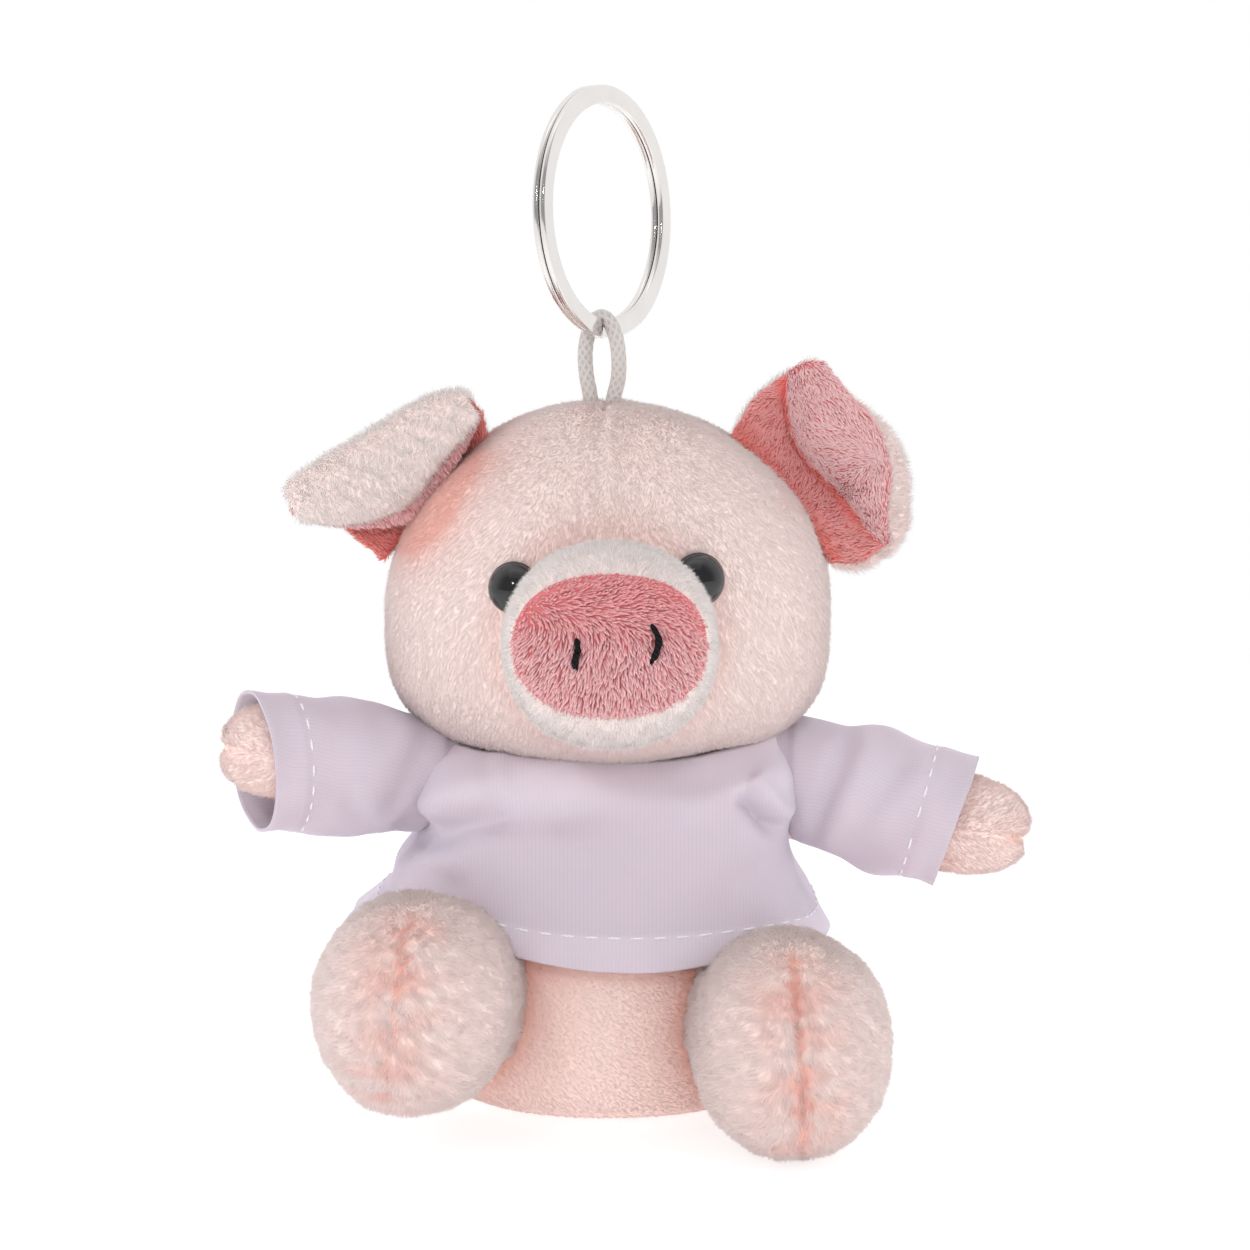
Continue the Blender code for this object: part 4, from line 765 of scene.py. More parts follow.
arm = dict(rows=40, turnPoints=64, power=2.1, cleftDepth=1.0, cleftWidth=0.8, roundPower=2.3,
           pileFrom=0.62, cuffShadeTo=0.84)
armSides = dict(
    left=dict(shoulder=(18.0, -3.0, 38.2), tip=(50.0, -5.6, 33.0), half=(5.0, 6.0), roundFrom=0.72,
              up=(0.16, 0.0, 0.987), notch=0.9),
    right=dict(shoulder=(-18.0, -3.0, 39.5), tip=(-45.4, -10.4, 44.8), half=(4.8, 5.5), roundFrom=0.76,
               up=(0.1, 0.0, 0.995), notch=0.45))
for side, one in armSides.items():
    start, tip = np.array(one["shoulder"]), np.array(one["tip"])
    t = np.linspace(0, 1, arm["rows"] + 1)[1:-1]
    late = np.clip((t - one["roundFrom"]) / (1 - one["roundFrom"]), 0, 1)
    reach, shrink = roundEnd(late, arm["roundPower"])
    place = np.where(late > 0, one["roundFrom"] + (1 - one["roundFrom"]) * reach, t)
    armWay = unit(tip - start)
    up = unit(np.array(one["up"]) - armWay * (np.array(one["up"]) @ armWay))
    sideWay = np.cross(up, armWay)
    path = start + place[:, None] * (tip - start)
    grid = rings(path, sideWay, up, one["half"][0] * (0.9 + 0.1 * t) * shrink,
                 one["half"][1] * (0.88 + 0.12 * t) * shrink, arm["power"], arm["turnPoints"])
    points, faces = closedForm(grid, start, tip)
    skin = skinOf(points, faces)
    rel = points - start
    along = rel @ armWay / np.linalg.norm(tip - start)
    height = rel @ up + 0.5 * ease((along - 0.6) / 0.4)
    inFront = ease(0.3 - skin["normal"][:, 1])
    cleft = hill(height, 0, arm["cleftWidth"]) * ease((along - 0.55) / 0.3) * np.maximum(
        inFront * 0.3, ease((along - 0.88) / 0.1) * 1.4) * one["notch"]
    points = points - skin["normal"] * (cleft * arm["cleftDepth"])[:, None]
    skin = skinOf(points, faces)
    # painted shade in the cleft
    armPiece = makePiece(f"arm_plush_{side}", points, faces, paleBacking,
                         marks=dict(tintAndShade=np.clip(cleft * 0.4, 0, 1)))
    lie = np.stack([armWay[0] + 0 * height, armWay[1] + 0 * height, np.sign(height) * 0.5], 1)
    cover = ease((along - arm["pileFrom"]) / 0.06)
    # painted shade in the cleft and under the cuff, over an even deeper tint of the hand
    tintAndShade = 0.2 * cleft + 0.45 * ease((arm["cuffShadeTo"] - along) / 0.2) + 0.3
    armPile = growPile(f"arm_pile_{side}", skin, palePlush, dict(shortPile, tuft=0.14, ownShade=0.8), lie,
                       cover, tintAndShade, 0.9, seed=17 + len(side))
    for piece in [armPiece] + armPile:
        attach(piece, "arm_" + side)
    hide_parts("arm_cover_" + side, "arm_filling_" + side)
print("arms")

# ears: a pale back and a pink lining sewn edge to edge, each folded its own way
# rows run from the seam on the head out to the free edge, columns from the top of the seam to its foot

earNets = dict(left=[
    [(14.8, -1.0, 80.2), (17.9, -1.0, 76.3), (20.9, -1.0, 72.4), (24.0, -1.0, 68.5), (27.0, -1.0, 64.8)],
    [(17.6, 1.0, 84.4), (19.8, 1.4, 80.2), (22.4, 1.6, 75.9), (26.8, 1.2, 70.5), (30.2, 0.0, 64.2)],
    [(20.9, 1.4, 87.0), (21.3, 2.2, 83.0), (22.9, 2.2, 78.2), (28.2, 1.9, 72.4), (33.2, 0.2, 65.9)],
    [(22.6, 0.2, 88.3), (23.4, -1.2, 84.6), (25.2, -1.7, 79.0), (30.4, -1.6, 73.2), (34.3, -0.4, 67.0)],
    [(23.9, -0.6, 88.9), (26.1, -2.0, 85.6), (29.6, -2.7, 80.5), (33.3, -2.3, 75.4), (35.0, -0.9, 68.1)],
    [(25.2, -0.6, 88.6), (28.2, -1.4, 85.3), (32.8, -2.2, 81.4), (35.4, -1.6, 76.3), (35.5, -1.1, 69.2)]
], right=[
    [(-14.4, -0.6, 79.9), (-17.4, -0.8, 76.3), (-20.5, -0.8, 72.5), (-23.6, -0.8, 68.9), (-26.6, -1.0, 65.4)],
    [(-15.1, 0.6, 82.4), (-18.8, 1.0, 80.3), (-23.6, 1.0, 76.4), (-28.2, 0.8, 72.6), (-31.3, -0.2, 69.1)],
    [(-16.4, 0.0, 84.3), (-20.6, 0.2, 83.6), (-27.2, 0.2, 79.7), (-33.6, -0.2, 75.9), (-37.5, -1.2, 73.2)],
    [(-16.6, -2.6, 84.4), (-20.6, -3.4, 83.3), (-27.2, -3.8, 79.3), (-33.5, -3.6, 75.3), (-37.7, -3.0, 72.7)],
    [(-15.9, -4.0, 83.6), (-19.4, -5.2, 79.6), (-24.9, -5.8, 74.9), (-31.2, -5.4, 72.2), (-37.1, -4.2, 71.5)],
    [(-15.3, -4.0, 82.6), (-18.2, -5.0, 77.3), (-22.6, -5.4, 71.5), (-29.2, -5.0, 69.9), (-36.2, -4.2, 70.6)]
])
ear = dict(rows=46, columns=50, fineRows=181, rim=4.0, panelFrom=0.42, panelMiddle=(31.9, -3.0, 78.0))
margins = dict(lining=dict(left=0.12, right=0.12), back=dict(left=0.2, right=0.02))  # pile round the rim
# share of each net that a layer takes: how far out at five steps from top to foot, and from top to foot
earLayers = dict(
    left=dict(lining=dict(out=(0.97, 0.96, 0.93, 0.80, 0.52), down=(0.0, 0.97), low=0.05, high=0.75),
              back=dict(out=(1.0, 1.0, 1.0, 1.0, 1.0), down=(0.0, 1.0), low=-0.95, high=-0.05)),
    right=dict(lining=dict(out=(1.0, 1.0, 1.0, 1.0, 1.0), down=(0.0, 1.0), low=0.05, high=0.7),
               back=dict(out=(0.97, 0.88, 0.92, 0.94, 0.97), down=(0.0, 0.99), low=-0.95, high=-0.05)))


def earSheet(net, one):
    # the net as a smooth surface: share from the seam out, stretched column by column, and from top to foot
    down = np.linspace(*one["down"], ear["columns"])
    share = np.linspace(0, 1, ear["rows"])[:, None] * spread(one["out"], down)[None]
    fine = spread(np.swapaxes(spread(net, np.linspace(0, 1, ear["fineRows"])), 0, 1), down).swapaxes(0, 1)
    at = share * (ear["fineRows"] - 1)
    low = np.minimum(at.astype(int), ear["fineRows"] - 2)
    column = np.arange(ear["columns"])[None]
    part = (at - low)[..., None]
    return fine[low, column] * (1 - part) + fine[low + 1, column] * part, share, down


def earShell(sheet, normal, low, high):
    # a thin shell between two offsets of the sheet, its rim rounded like a quarter circle
    rows, columns = sheet.shape[:2]
    edge = np.minimum(np.minimum(np.arange(columns), np.arange(columns)[::-1])[None],
                      np.arange(rows)[::-1][:, None]) / ear["rim"]
    full = 0.3 + 0.7 * np.sqrt(1 - (1 - np.clip(edge, 0, 1)) ** 2)
    middle = (low + high) / 2
    top = sheet + normal * (middle + (high - middle) * full)[..., None]
    under = sheet + normal * (middle + (low - middle) * full)[..., None]
    index = np.arange(rows * columns).reshape(rows, columns)
    border = np.concatenate([index[0], index[1:, -1], index[-1, -2::-1], index[-2:0:-1, 0]])
    following = np.roll(border, -1)
    rim = np.stack([border, border + rows * columns, following + rows * columns, following], 1)
    faceTop = gridFaces(rows, columns, around=False)
    faces = [faceTop, faceTop[:, ::-1] + rows * columns, rim]
    return np.concatenate([top.reshape(-1, 3), under.reshape(-1, 3)]), faces


for side, net in earNets.items():
    net = np.array(net, float)
    for layer, one in earLayers[side].items():
        sheet, share, down = earSheet(net, one)
        normal = unit(np.cross(np.gradient(sheet, axis=1), np.gradient(sheet, axis=0)))
        if normal[2, ear["columns"] // 2, 1] > 0:
            normal = -normal  # the lining's side faces the viewer at the seam
        points, faces = earShell(sheet, normal, one["low"], one["high"])
        faces = facingOut(points, faces, normal.reshape(-1, 3))
        skin = skinOf(points, faces)
        uu, vv = np.tile(share.ravel(), 2), np.tile(np.tile(down, ear["rows"]), 2)
        upper = np.arange(len(points)) < len(points) // 2
        outFrom = np.concatenate([np.gradient(sheet, axis=0).reshape(-1, 3)] * 2)
        downFrom = np.concatenate([np.gradient(sheet, axis=1).reshape(-1, 3)] * 2)
        edge = np.minimum(np.minimum(vv, 1 - vv), 1 - uu)
        cover = ((upper == (layer == "lining")) | (edge < margins[layer][side])).astype(float)
        if layer == "lining":
            look = dict(strokePile, perSquareMm=25.0, length=1.05, width=0.16, lean=0.74, stray=0.09,
                        middle=0.6, full=0.9, ownShade=0.8)
            if side == "left":  # a base and a folded panel, whose strokes run towards its outer middle
                base = 1 - ease((uu - ear["panelFrom"]) / 0.06)
                # painted shade: deeper over the base strip, which turns back into shade, in the crease's
                # valley and at the seam; painted light just past the crease, where the panel faces the light
                tintAndShade = np.clip(0.55 * base + 0.9 * hill(uu, 0.43, 0.06) * ease((0.95 - vv) / 0.2)
                                + 0.6 * hill(uu, 0.0, 0.08) - 0.2 * (1 - base) * hill(uu, 0.55, 0.12), 0, 1)
                panelLie = unit(np.array(ear["panelMiddle"]) - points + 1e-6)
                baseLie = unit(outFrom) * -0.9 + 0.35 * zWay
                lie = baseLie * base[:, None] + panelLie * (1 - base)[:, None]
            else:
                # painted shade: deeper towards the seam on the head
                tintAndShade = 0.8 * (1 - ease((uu - 0.45) / 0.2)) + 0.12
                lie = unit(outFrom)
            material, ground = liningPlush, pinkBacking
        else:
            look = dict(fluffPile, length=1.15, lean=0.6)
            # painted shade where the back meets the head
            tintAndShade, lie = 0.04 + 0.3 * hill(uu, 0, 0.08), unit(outFrom)
            if side == "left":
                # deeper pink near the rim
                tintAndShade = tintAndShade + 0.3 * upper * ease((0.22 - edge) / 0.1)
                lie = lie + unit(downFrom) * (vv - 0.5)[:, None] * 1.2
            material, ground = creamPlush, paleBacking
        piece = makePiece(f"ear_{layer}_plush_{side}", points, faces, ground,
                          marks=dict(tintAndShade=np.clip(tintAndShade, 0, 1) * (layer == "lining") * 0.7))
        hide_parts(f"ear_{layer}_{side}")
        overhang = ease((1 - uu / uu.max()) / 0.12)
        longer = 0.5 + 0.5 * overhang if (layer, side) == ("back", "right") else 1.0
        pile = growPile(f"ear_{layer}_pile_{side}", skin, material, look, lie, cover, tintAndShade, longer,
                        seed=23 + len(side) + 6 * len(layer))
        for part in [piece] + pile:
            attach(part, "ear_" + side)
print("ears")

# shirt

jerseyGroup, into, out = newGroup(
    "jersey", dict(Map="Vector", Place="Vector", Wale="Float", Course="Float", Light="Color", Deep="Color",
                   PinkBounce="Color", PinkBounceShare="Float"), dict(Colour="Color", Height="Float"))
split = addNode(jerseyGroup, "ShaderNodeSeparateXYZ", {0: into["Map"]}).outputs


def knitCalc(operation, *values):
    return calc(jerseyGroup, operation, *values)


# each wale has slanting loops on both sides of its middle, a groove beside it and a fine one in the middle
fromMiddle = knitCalc("SUBTRACT", knitCalc("FRACT", knitCalc("DIVIDE", split["X"], into["Wale"])), 0.5)
cell = knitCalc("ABSOLUTE", fromMiddle)
slant = knitCalc("ADD", knitCalc("DIVIDE", split["Y"], into["Course"]), knitCalc("MULTIPLY", cell, 1.1))
loop = knitCalc("MULTIPLY_ADD", knitCalc("SINE", knitCalc("MULTIPLY", slant, wholeTurn)), 0.24, 0.76)
ridge = knitCalc("SUBTRACT", 1.0, knitCalc("POWER", knitCalc("MULTIPLY", cell, 2.0), 3.0))
inMiddle = knitCalc("SUBTRACT", 1.0, knitCalc("MINIMUM", knitCalc("MULTIPLY", cell, 6.0), 1.0))
groove = knitCalc("SUBTRACT", 1.0, knitCalc("MULTIPLY", inMiddle, 0.18))
height = knitCalc("MULTIPLY", knitCalc("MULTIPLY", loop, ridge), groove)
wander = addNoise(jerseyGroup, into["Place"], 160.0, 5.0)
# painted shade: the yarn is darker the deeper it lies in the loops' relief
yarn = mixColour(jerseyGroup, knitCalc("POWER", height, 0.5), into["Deep"], into["Light"])
# painted pink light, as if from the plush through the thin cloth: the yarn turns pink in wandering patches,
# more where the mark asks
warmer = mixColour(jerseyGroup, knitCalc("MULTIPLY", wander, into["PinkBounceShare"]), yarn, into["PinkBounce"])
jerseyGroup.links.new(warmer, out["Colour"])
jerseyGroup.links.new(height, out["Height"])

jersey, tree, shader = newMaterial("lilacJersey", Roughness=0.85, Sheen_Weight=0.35, Sheen_Roughness=0.4,
                                    Sheen_Tint=rgb(0.88, 0.88, 1.0), Specular_IOR_Level=0.15)
edge, pale = (addNode(tree, "ShaderNodeAttribute", attribute_name=key).outputs["Fac"]
              for key in ("edge", "pale"))
cloth = useGroup(tree, jerseyGroup, {
    "Map": addNode(tree, "ShaderNodeUVMap", uv_map="clothMap").outputs[0],
    "Place": objectPlace(tree), "Wale": 0.47, "Course": 0.42,
    "Light": rgb(0.575, 0.53, 0.60), "Deep": rgb(0.495, 0.44, 0.515), "PinkBounce": rgb(0.66, 0.49, 0.55),
    "PinkBounceShare": calc(tree, "ADD", edge, 0.4)})
setColour(tree, shader, calc(tree, "MULTIPLY", pale, 0.45), cloth["Colour"], rgb(0.90, 0.84, 0.92))
setBump(tree, shader, cloth["Height"], 0.22, 0.0001)
thread = spunThread("whiteThread", rgb(0.74, 0.71, 0.75), rgb(0.88, 0.86, 0.89), 1400.0, 2.0, 0.0,
                    Roughness=0.5, Specular_IOR_Level=0.4)

shirt = dict(rows=90, columns=260, thick=0.42, hemStep=0.16, lump=0.15, lumpSize=7.0)
hemWaves = ((0.55, 7, 0.6), (0.35, 12, 0.0))  # height in mm, how many go round, and where the first starts
# start and end in the front view, width, rise, and the furrow's share of it
frontCreases = [((-24.0, 33.2), (-11.0, 38.4), 1.8, 2.0, 1.0), ((-13.0, 37.4), (0.0, 38.4), 2.3, 1.2, 0.9),
                ((-24.5, 31.0), (-16.0, 28.5), 1.6, 0.6, 0.6), ((15.6, 40.0), (20.0, 34.8), 1.0, 1.8, 1.1),
                ((21.0, 33.0), (14.0, 29.0), 1.6, 0.5, 0.5)]
backCreases = [((21.0, 34.5), (5.0, 38.5), 1.4, 0.8, 0.8), ((-21.0, 35.0), (-7.0, 37.0), 1.4, 0.7, 0.8)]
# half widths and depths from the neckline down to the hem, at even steps of height; left is at positive x
shirtLeft = [21.2, 22.2, 22.2, 21.5, 22.2, 24.4, 26.3]
shirtRight = [19.8, 21.6, 21.9, 22.4, 25.0, 26.6, 31.2]
shirtFront = [12.9, 16.9, 18.7, 19.8, 20.7, 21.6, 22.4]
shirtBack = [12.9, 16.4, 18.0, 19.0, 20.0, 21.0, 22.0]
shirtPower = [2.8, 4.2, 4.2, 3.6, 2.9, 2.5, 2.3]  # how square the ring is
# hem heights round the body at even steps of 15 degrees, from the left side by way of the back
hemHeights = [20.3, 20.8, 21.2, 21.4, 21.3, 21.2, 21.2, 21.2, 21.4, 21.6, 21.9, 22.0, 22.1, 22.9, 24.2,
              24.4, 23.2, 21.2, 19.8, 19.9, 20.9, 22.6, 22.3, 20.8, 20.3]
stitchHeights = [23.9, 24.6, 25.1, 25.3, 25.2, 25.1, 25.1, 25.1, 25.3, 25.5, 25.4, 25.1, 24.9, 25.6, 26.5,
                 26.6, 25.9, 24.7, 24.0, 24.0, 24.3, 24.5, 24.4, 24.1, 23.9]
neckHeights = [45.2, 45.4, 45.6, 45.6, 45.4, 45.2, 45.2, 45.2, 45.4, 45.6, 45.6, 45.4, 45.2, 44.9, 44.4,
               44.0, 43.4, 43.0, 43.0, 43.3, 43.9, 44.6, 45.2, 45.4, 45.2]


def shirtPoint(turnShare, level):
    # a ring whose four half widths change with the level, its height run from neckline to hem
    turn = turnShare * wholeTurn
    c, s = np.cos(turn), np.sin(turn)
    wide = np.where(c > 0, spread(shirtLeft, level), spread(shirtRight, level))
    deep = np.where(s > 0, spread(shirtBack, level), spread(shirtFront, level))
    top, low = spread(neckHeights, turnShare), spread(hemHeights, turnShare)
    power = 2 / spread(shirtPower, level)
    x = wide * np.sign(c) * np.abs(c) ** power
    y = deep * np.sign(s) * np.abs(s) ** power
    return np.stack([x, y, top + (low - top) * level], -1)


def crease(x, z, start, end, width, rise, share):
    # a furrow along a line in the front view with a soft ridge above it, fading at both ends
    start, end = np.array(start), np.array(end)
    way = (end - start) / np.linalg.norm(end - start)
    dx, dz = x - start[0], z - start[1]
    along = (dx * way[0] + dz * way[1]) / np.linalg.norm(end - start)
    off = -dx * way[1] + dz * way[0]
    fade = ease(along / 0.2 + 0.5) * ease((1 - along) / 0.35 + 0.3) * (along > -0.3) * (along < 1.3)
    return fade * rise * (-share * hill(off, 0, width) + 0.7 * hill(off, width * 1.7, width * 1.3))


turnShare, level = np.meshgrid(np.arange(shirt["columns"]) / shirt["columns"],
                               np.linspace(0, 1, shirt["rows"]))
sheet = shirtPoint(turnShare, level)
normal = unit(np.cross(np.roll(sheet, -1, 1) - np.roll(sheet, 1, 1), -np.gradient(sheet, axis=0)))
x, y, z = sheet[..., 0], sheet[..., 1], sheet[..., 2]
inFront = ease((-y - 2) / 6)
fold = inFront * sum(crease(x, z, *line) for line in frontCreases)
behind = ease((y - 2) / 6)
fold = fold + behind * sum(crease(x, z, *line) for line in backCreases)
hang = level ** 2 * sum(tall * np.sin(turnShare * wholeTurn * number + start)
                        for tall, number, start in hemWaves)
stitchLevel = np.array([np.interp(-spread(stitchHeights, turnShare[0, k]), -z[:, k], level[:, k])
                        for k in range(shirt["columns"])])
hemPart = ease((level - stitchLevel + 0.015) / 0.03)
fold = fold + hang * (0.35 + 0.65 * behind) + shirt["hemStep"] * hemPart
fold = fold + shirt["lump"] * ripple(sheet.reshape(-1, 3), shirt["lumpSize"], 31).reshape(x.shape)
sheet = sheet + normal * fold[..., None]
steps = np.linalg.norm(np.diff(sheet, axis=0), axis=-1).cumsum(0)
down = np.concatenate([np.zeros((1, shirt["columns"])), steps])


def clothMap(sheet, faces, down, panels):
    # wales run straight down each panel: across is the length along the row from the panel's middle column,
    # down the length from the first row. A panel is its first column and its middle column.
    rows, columns = sheet.shape[:2]
    steps = np.linalg.norm(np.roll(sheet, -1, 1) - sheet, axis=2)
    across = np.concatenate([np.zeros((rows, 1)), np.concatenate([steps, steps], 1).cumsum(1)], 1)
    own = np.tile(np.arange(columns), rows - 1)  # the column that each face starts from
    firsts, middles = (np.array([p[k] for p in panels]) for k in (0, 1))
    late = np.where(own < firsts[0], own + columns, own)
    middle = middles[np.searchsorted(firsts, late, side="right") - 1]
    step = (faces % columns - own[:, None]) % columns
    row = faces // columns
    place = across[row, late[:, None] + step] - across[row, middle[:, None]]
    return np.stack([place, down.ravel()[faces]], -1).reshape(-1, 2), across[rows // 2, columns]


faces = gridFaces(shirt["rows"], shirt["columns"])[:, ::-1]
half = shirt["columns"] // 2
place, girth = clothMap(sheet, faces, down, [(0, half // 2), (half, half + half // 2)])
# painted pink bounce light from the chin along the front of the neckline
edge = 0.6 * hill(level, 0, 0.09) * inFront
# painted light at the front below the neckline, lifting the chin's shadow, and paler over the hem band
pale = hill(level, 0, 0.2) * inFront + 0.35 * hemPart
shirtPiece = makePiece("shirt", sheet.reshape(-1, 3), [faces], jersey, maps={"clothMap": place},
                       marks=dict(edge=edge.ravel(), pale=pale.ravel()))
print("shirt girth", round(girth, 1), "length", round(float(down[-1].mean()), 1))


def thicken(piece, thick):
    wall = piece.modifiers.new("cloth", "SOLIDIFY")
    wall.thickness, wall.offset = thick * mm, -1.0
    wall.use_rim, wall.use_even_offset = True, False
    bpy.context.view_layer.objects.active = piece
    with bpy.context.temp_override(object=piece, active_object=piece, selected_objects=[piece]):
        bpy.ops.object.modifier_apply(modifier="cloth")


stitching = dict(radius=0.14, lift=0.05, pull=0.45, steps=7, sides=6)


def runningStitch(name, line, outward, pitch, length):
    # short capsules along a line, each pulled under the cloth at both ends
    steps = np.concatenate([[0], np.linalg.norm(np.diff(line, axis=0), axis=1).cumsum()])
    count = int(steps[-1] / pitch)
    rows, sides = stitching["steps"], stitching["sides"]
    t = np.linspace(0, 1, rows)
    at = (np.arange(count) * pitch + 0.3)[:, None] + t * length
    middle = np.stack([np.interp(at, steps, line[:, k]) for k in range(3)], -1)
    out = unit(np.stack([np.interp(at, steps, outward[:, k]) for k in range(3)], -1))
    middle = middle + out * (stitching["lift"] - stitching["pull"] * np.abs(2 * t - 1) ** 3)[None, :, None]
    way = unit(np.gradient(middle, axis=1))
    side = np.cross(out, way)
    ring = np.arange(sides) * wholeTurn / sides
    thick = 0.55 + 0.45 * np.sin(math.pi * np.clip(t, 0.05, 0.95)) ** 0.5
    thick = stitching["radius"] * thick[None, :, None, None]
    grid = middle[:, :, None] + thick * (side[:, :, None] * np.cos(ring)[:, None]
                                         + out[:, :, None] * np.sin(ring)[:, None])
    first = (np.arange(count) * rows * sides)[:, None, None]
    quads = first + gridFaces(rows, sides)
    caps = first + np.stack([np.arange(sides)[::-1], np.arange(sides) + (rows - 1) * sides])
    return makePiece(name, grid.reshape(-1, 3), [quads.reshape(-1, 4), caps.reshape(-1, sides)], thread)


thicken(shirtPiece, shirt["thick"])
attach(shirtPiece, "torso")
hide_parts("shirt_front", "shirt_back")
at = (stitchLevel + 0.012) * (shirt["rows"] - 1)
row, column = at.astype(int), np.arange(shirt["columns"])
part = (at - row)[:, None]
line = sheet[row, column] * (1 - part) + sheet[row + 1, column] * part
line, outward = (np.concatenate([v, v[:1]]) for v in (line, normal[row, column]))
hemStitch = runningStitch("shirt_hem_stitch", line, outward, 2.7, 2.2)
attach(hemStitch, "torso")
print("shirt")

# sleeves

sleeve = dict(rows=66, columns=120, thick=0.42, length=21.0, span=20.0, bulge=0.10, lump=0.22, lumpSize=8.0,
              hemFrom=0.78, hemStep=0.18, inside=0.12, blendTo=0.35)
sleeveSides = dict(
    left=dict(root=(21.6, -3.0, 39.7), rootFront=(-0.3, -7.2, 0.0), rootUp=(0.2, 0.0, 7.3),
              cuff=(41.4, -4.6, 34.5), cuffFront=(-0.8, -7.7, 0.0), cuffUp=(2.7, 0.0, 7.6),
              creases=[((6.5, 7.5), (3.0, -6.0), 1.2, 0.9, 0.8),
                       ((13.0, 7.0), (8.5, -2.0), 1.4, 0.6, 0.8)]),
    right=dict(root=(-21.3, -3.0, 40.0), rootFront=(2.2, -7.4, 0.0), rootUp=(1.4, 0.0, 6.9),
               cuff=(-41.9, -7.8, 42.2), cuffFront=(2.9, -7.6, 2.8), cuffUp=(-1.2, 0.3, 8.1),
               creases=[((2.5, 6.0), (6.5, -5.5), 1.6, 0.7, 0.7),
                        ((6.0, -7.0), (12.0, -3.0), 1.5, 0.5, 0.6)]))
for side, one in sleeveSides.items():
    turn, s = np.meshgrid(np.arange(sleeve["columns"]) / sleeve["columns"] * wholeTurn,
                          np.linspace(-sleeve["inside"], 1, sleeve["rows"]))
    root, rootFront, rootUp, cuff, cuffFront, cuffUp = (
        np.array(one[k]) for k in ("root", "rootFront", "rootUp", "cuff", "cuffFront", "cuffUp"))
    s3 = s[..., None]
    size = 1 + sleeve["bulge"] * np.sin(math.pi * np.clip(s3 * 1.1, 0, 1)) * (1 - 0.2 * s3)
    frontWay, upWay = rootFront + (cuffFront - rootFront) * s3, rootUp + (cuffUp - rootUp) * s3
    middle = root + (cuff - root) * s3
    sheet = middle + size * (frontWay * np.cos(turn)[..., None] + upWay * np.sin(turn)[..., None])
    normal = unit(np.cross(np.roll(sheet, -1, 1) - np.roll(sheet, 1, 1), np.gradient(sheet, axis=0)))
    if (normal * (sheet - middle)).sum() < 0:
        normal = -normal
    span, high = s * sleeve["span"], (sheet - middle)[..., 2]
    fold = sum(crease(span, high, *line) for line in one["creases"])
    lumps = ripple(sheet.reshape(-1, 3), sleeve["lumpSize"], 37).reshape(s.shape)
    fold = fold + sleeve["lump"] * lumps * ease(s / 0.2)
    fold = fold + sleeve["hemStep"] * ease((s - sleeve["hemFrom"]) / 0.03)
    fold = fold - 0.5 * (1 - ease((s + 0.02) / 0.05))  # drawn in at the armhole, inside the shirt
    sheet = sheet + normal * fold[..., None]
    faces, = facingOut(sheet.reshape(-1, 3), [gridFaces(sleeve["rows"], sleeve["columns"])],
                       normal.reshape(-1, 3))
    quarter = sleeve["columns"] // 4
    place, girth = clothMap(sheet, faces, s * sleeve["length"], [(quarter * 3, quarter * 5)])
    sleevePiece = makePiece("sleeve_cloth_" + side, sheet.reshape(-1, 3), [faces], jersey,
                            maps={"clothMap": place})
    print("sleeve girth", side, round(girth, 1))
    thicken(sleevePiece, sleeve["thick"])
    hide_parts("sleeve_" + side)
    row = int((sleeve["hemFrom"] + 0.01 + sleeve["inside"]) / (1 + sleeve["inside"]) * (sleeve["rows"] - 1))
    line, outward = (np.concatenate([v[row], v[row][:1]]) for v in (sheet, normal))
    stitch = runningStitch("sleeve_stitch_" + side, line, outward, 2.6, 2.0)
    for piece in (sleevePiece, stitch):
        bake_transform(piece)
print("sleeves")

# cord loop and key ring: the wire's circle lies in up and alongWire, square to through

up = np.array([0.0, 0.13917, 0.99027])
through = np.array([0.86603, -0.49513, 0.06959])
alongWire = np.array([0.5, 0.8576, -0.12053])
ringCentre = np.array([-2.65, 11.509, 106.479]) - toyAxis
keyRing = dict(radius=13.9, halfWide=1.1, halfThick=0.4, power=5.0, pitch=0.9, points=560, corners=16,
               startAngle=-96.0)
steel, tree, shader = newMaterial("brightSteel", Metallic=1.0, Roughness=0.14)
wear = addNoise(tree, objectPlace(tree), 260.0, 6.0)
setColour(tree, shader, wear, rgb(0.86, 0.84, 0.83), rgb(0.76, 0.73, 0.71))
tree.links.new(calc(tree, "MULTIPLY_ADD", wear, 0.18, 0.06), shader.inputs["Roughness"])
turns = np.linspace(-1, 1, keyRing["points"])  # two turns that start and end at the loop
angle = math.radians(keyRing["startAngle"]) + (turns + 1) * wholeTurn
shift = keyRing["pitch"] / 2 * np.sign(turns) * ease(np.abs(turns) / 0.12)
radial = np.cos(angle)[:, None] * alongWire + np.sin(angle)[:, None] * up
path = ringCentre + radial * keyRing["radius"] + shift[:, None] * through
corner = (np.arange(keyRing["corners"]) + 0.5) * wholeTurn / keyRing["corners"]
c, s = (np.sign(f) * np.abs(f) ** (2 / keyRing["power"]) for f in (np.cos(corner), np.sin(corner)))
grid = path[:, None] + radial[:, None] * (keyRing["halfWide"] * c)[:, None] + (
    through * (keyRing["halfThick"] * s)[:, None])[None]
points, faces = closedForm(grid, path[0], path[-1])
faces = facingOut(points, faces, (grid - path[:, None]).reshape(-1, 3))
ringPiece = makePiece("split_ring", points, faces, steel)
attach(ringPiece, "ring")
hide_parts("key_ring")

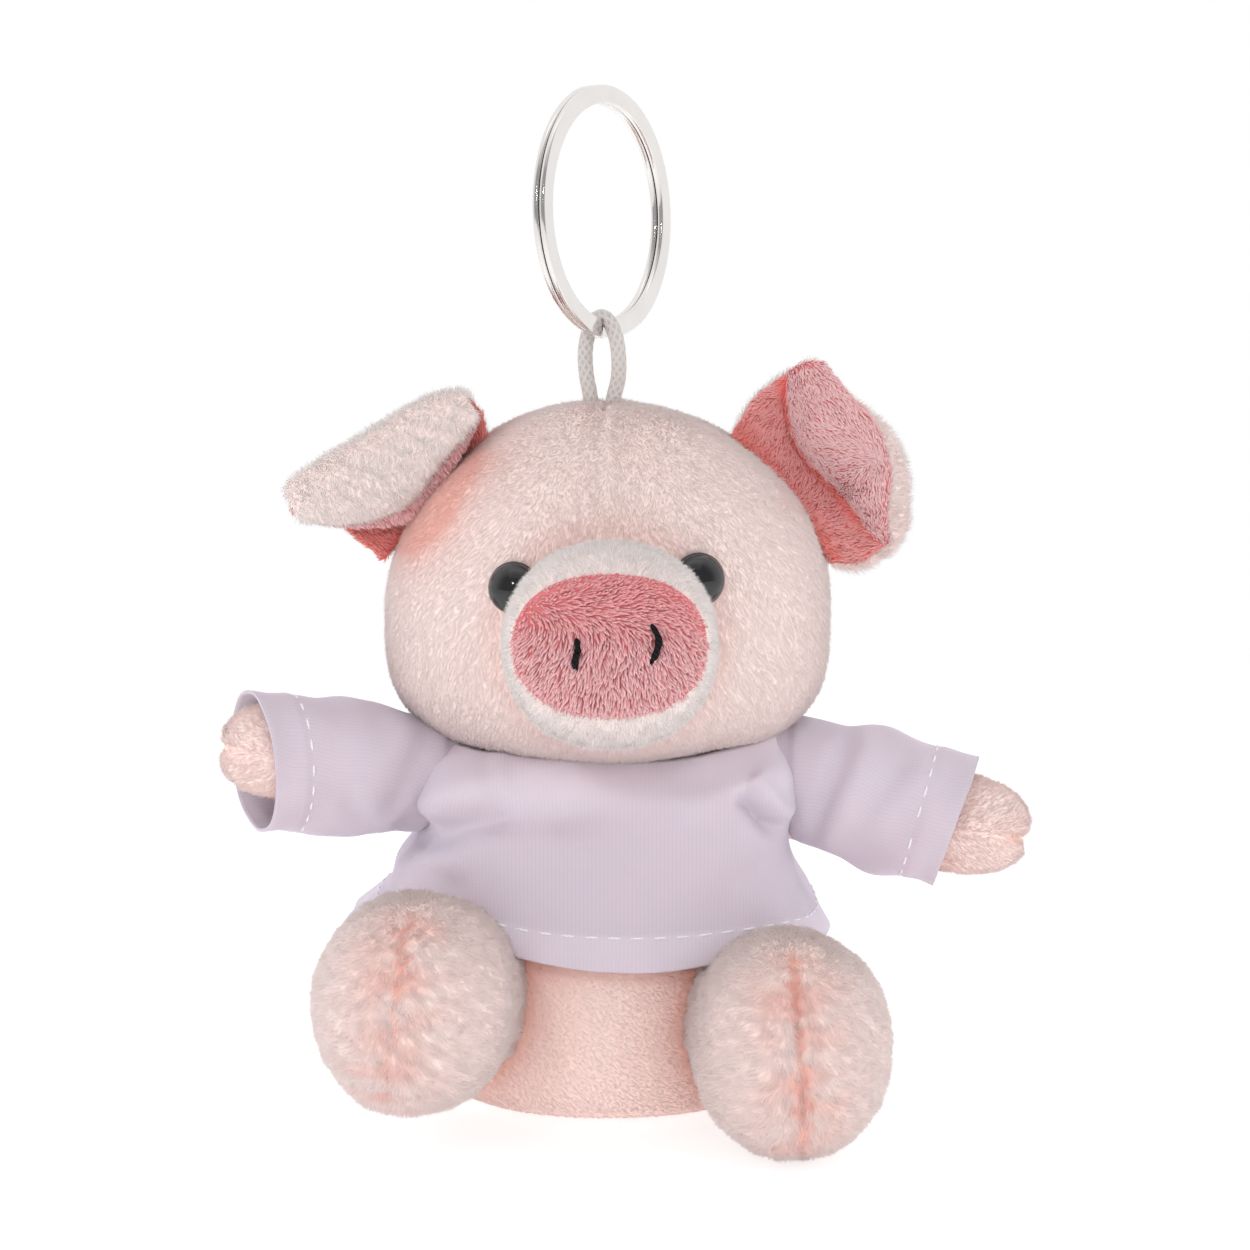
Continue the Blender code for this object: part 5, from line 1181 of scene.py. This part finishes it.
cordLook = dict(radius=0.88, points=240, turnPoints=48, relief=0.07, strands=3, climb=2.6)
whiteCord, tree, shader = newMaterial("whiteCord", Roughness=0.8, Sheen_Weight=0.2, Specular_IOR_Level=0.2)
fuzz = addNoise(tree, objectPlace(tree), 1500.0, 4.0)
groove = addNode(tree, "ShaderNodeAttribute", attribute_name="braid").outputs["Fac"]
yarn = mixColour(tree, fuzz, rgb(0.54, 0.50, 0.48), rgb(0.64, 0.60, 0.58))
# painted shade: darker in the grooves between the braid's strands
setColour(tree, shader, groove, rgb(0.49, 0.45, 0.43), yarn)
setBump(tree, shader, fuzz, 0.4, 0.0001)
# the loop's line: up out of the crown on one side of the wire, over it, and down on the other
cordLine = np.array([(-2.2, 0.2, 81.5), (-2.1, 0.1, 84.5), (-2.6, 0.2, 87.5), (-2.7, 0.8, 90.2),
                     (-2.2, 1.2, 92.6), (-1.2, 0.7, 94.1), (0.0, -0.6, 93.9), (0.9, -1.4, 92.0),
                     (1.25, -1.3, 89.6), (1.2, -0.8, 87.0), (0.6, -0.4, 84.4), (0.3, -0.2, 81.5)])
path = spread(cordLine, np.linspace(0, 1, cordLook["points"]))
grid = tubeAlong(path, cordLook["radius"], cordLook["turnPoints"])[0]
steps = np.concatenate([[0], np.linalg.norm(np.diff(path, axis=0), axis=1).cumsum()])[:, None]
turn = (np.arange(cordLook["turnPoints"]) * wholeTurn / cordLook["turnPoints"])[None]
strand, climb = turn * cordLook["strands"], steps * cordLook["climb"]  # strands each way round
weave = np.maximum(np.abs(np.cos(strand + climb)), np.abs(np.cos(strand - climb)))
braid = (weave - 0.7) / 0.3
grid = path[:, None] + (grid - path[:, None]) * (1 + cordLook["relief"] * (braid - 0.6))[..., None]
points, faces = closedForm(grid, path[0], path[-1])
faces = facingOut(points, faces, (grid - path[:, None]).reshape(-1, 3))
cordPiece = makePiece("cord_loop", points, faces, whiteCord,
                      marks=dict(braid=np.append(np.clip(braid, 0, 1), [1, 1])))
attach(cordPiece, "cord")
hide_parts("hang_loop")
knot = frame["nodes"]["loop_knot"]
knot.data.materials.clear()
knot.data.materials.append(whiteCord)
print("loop and ring")
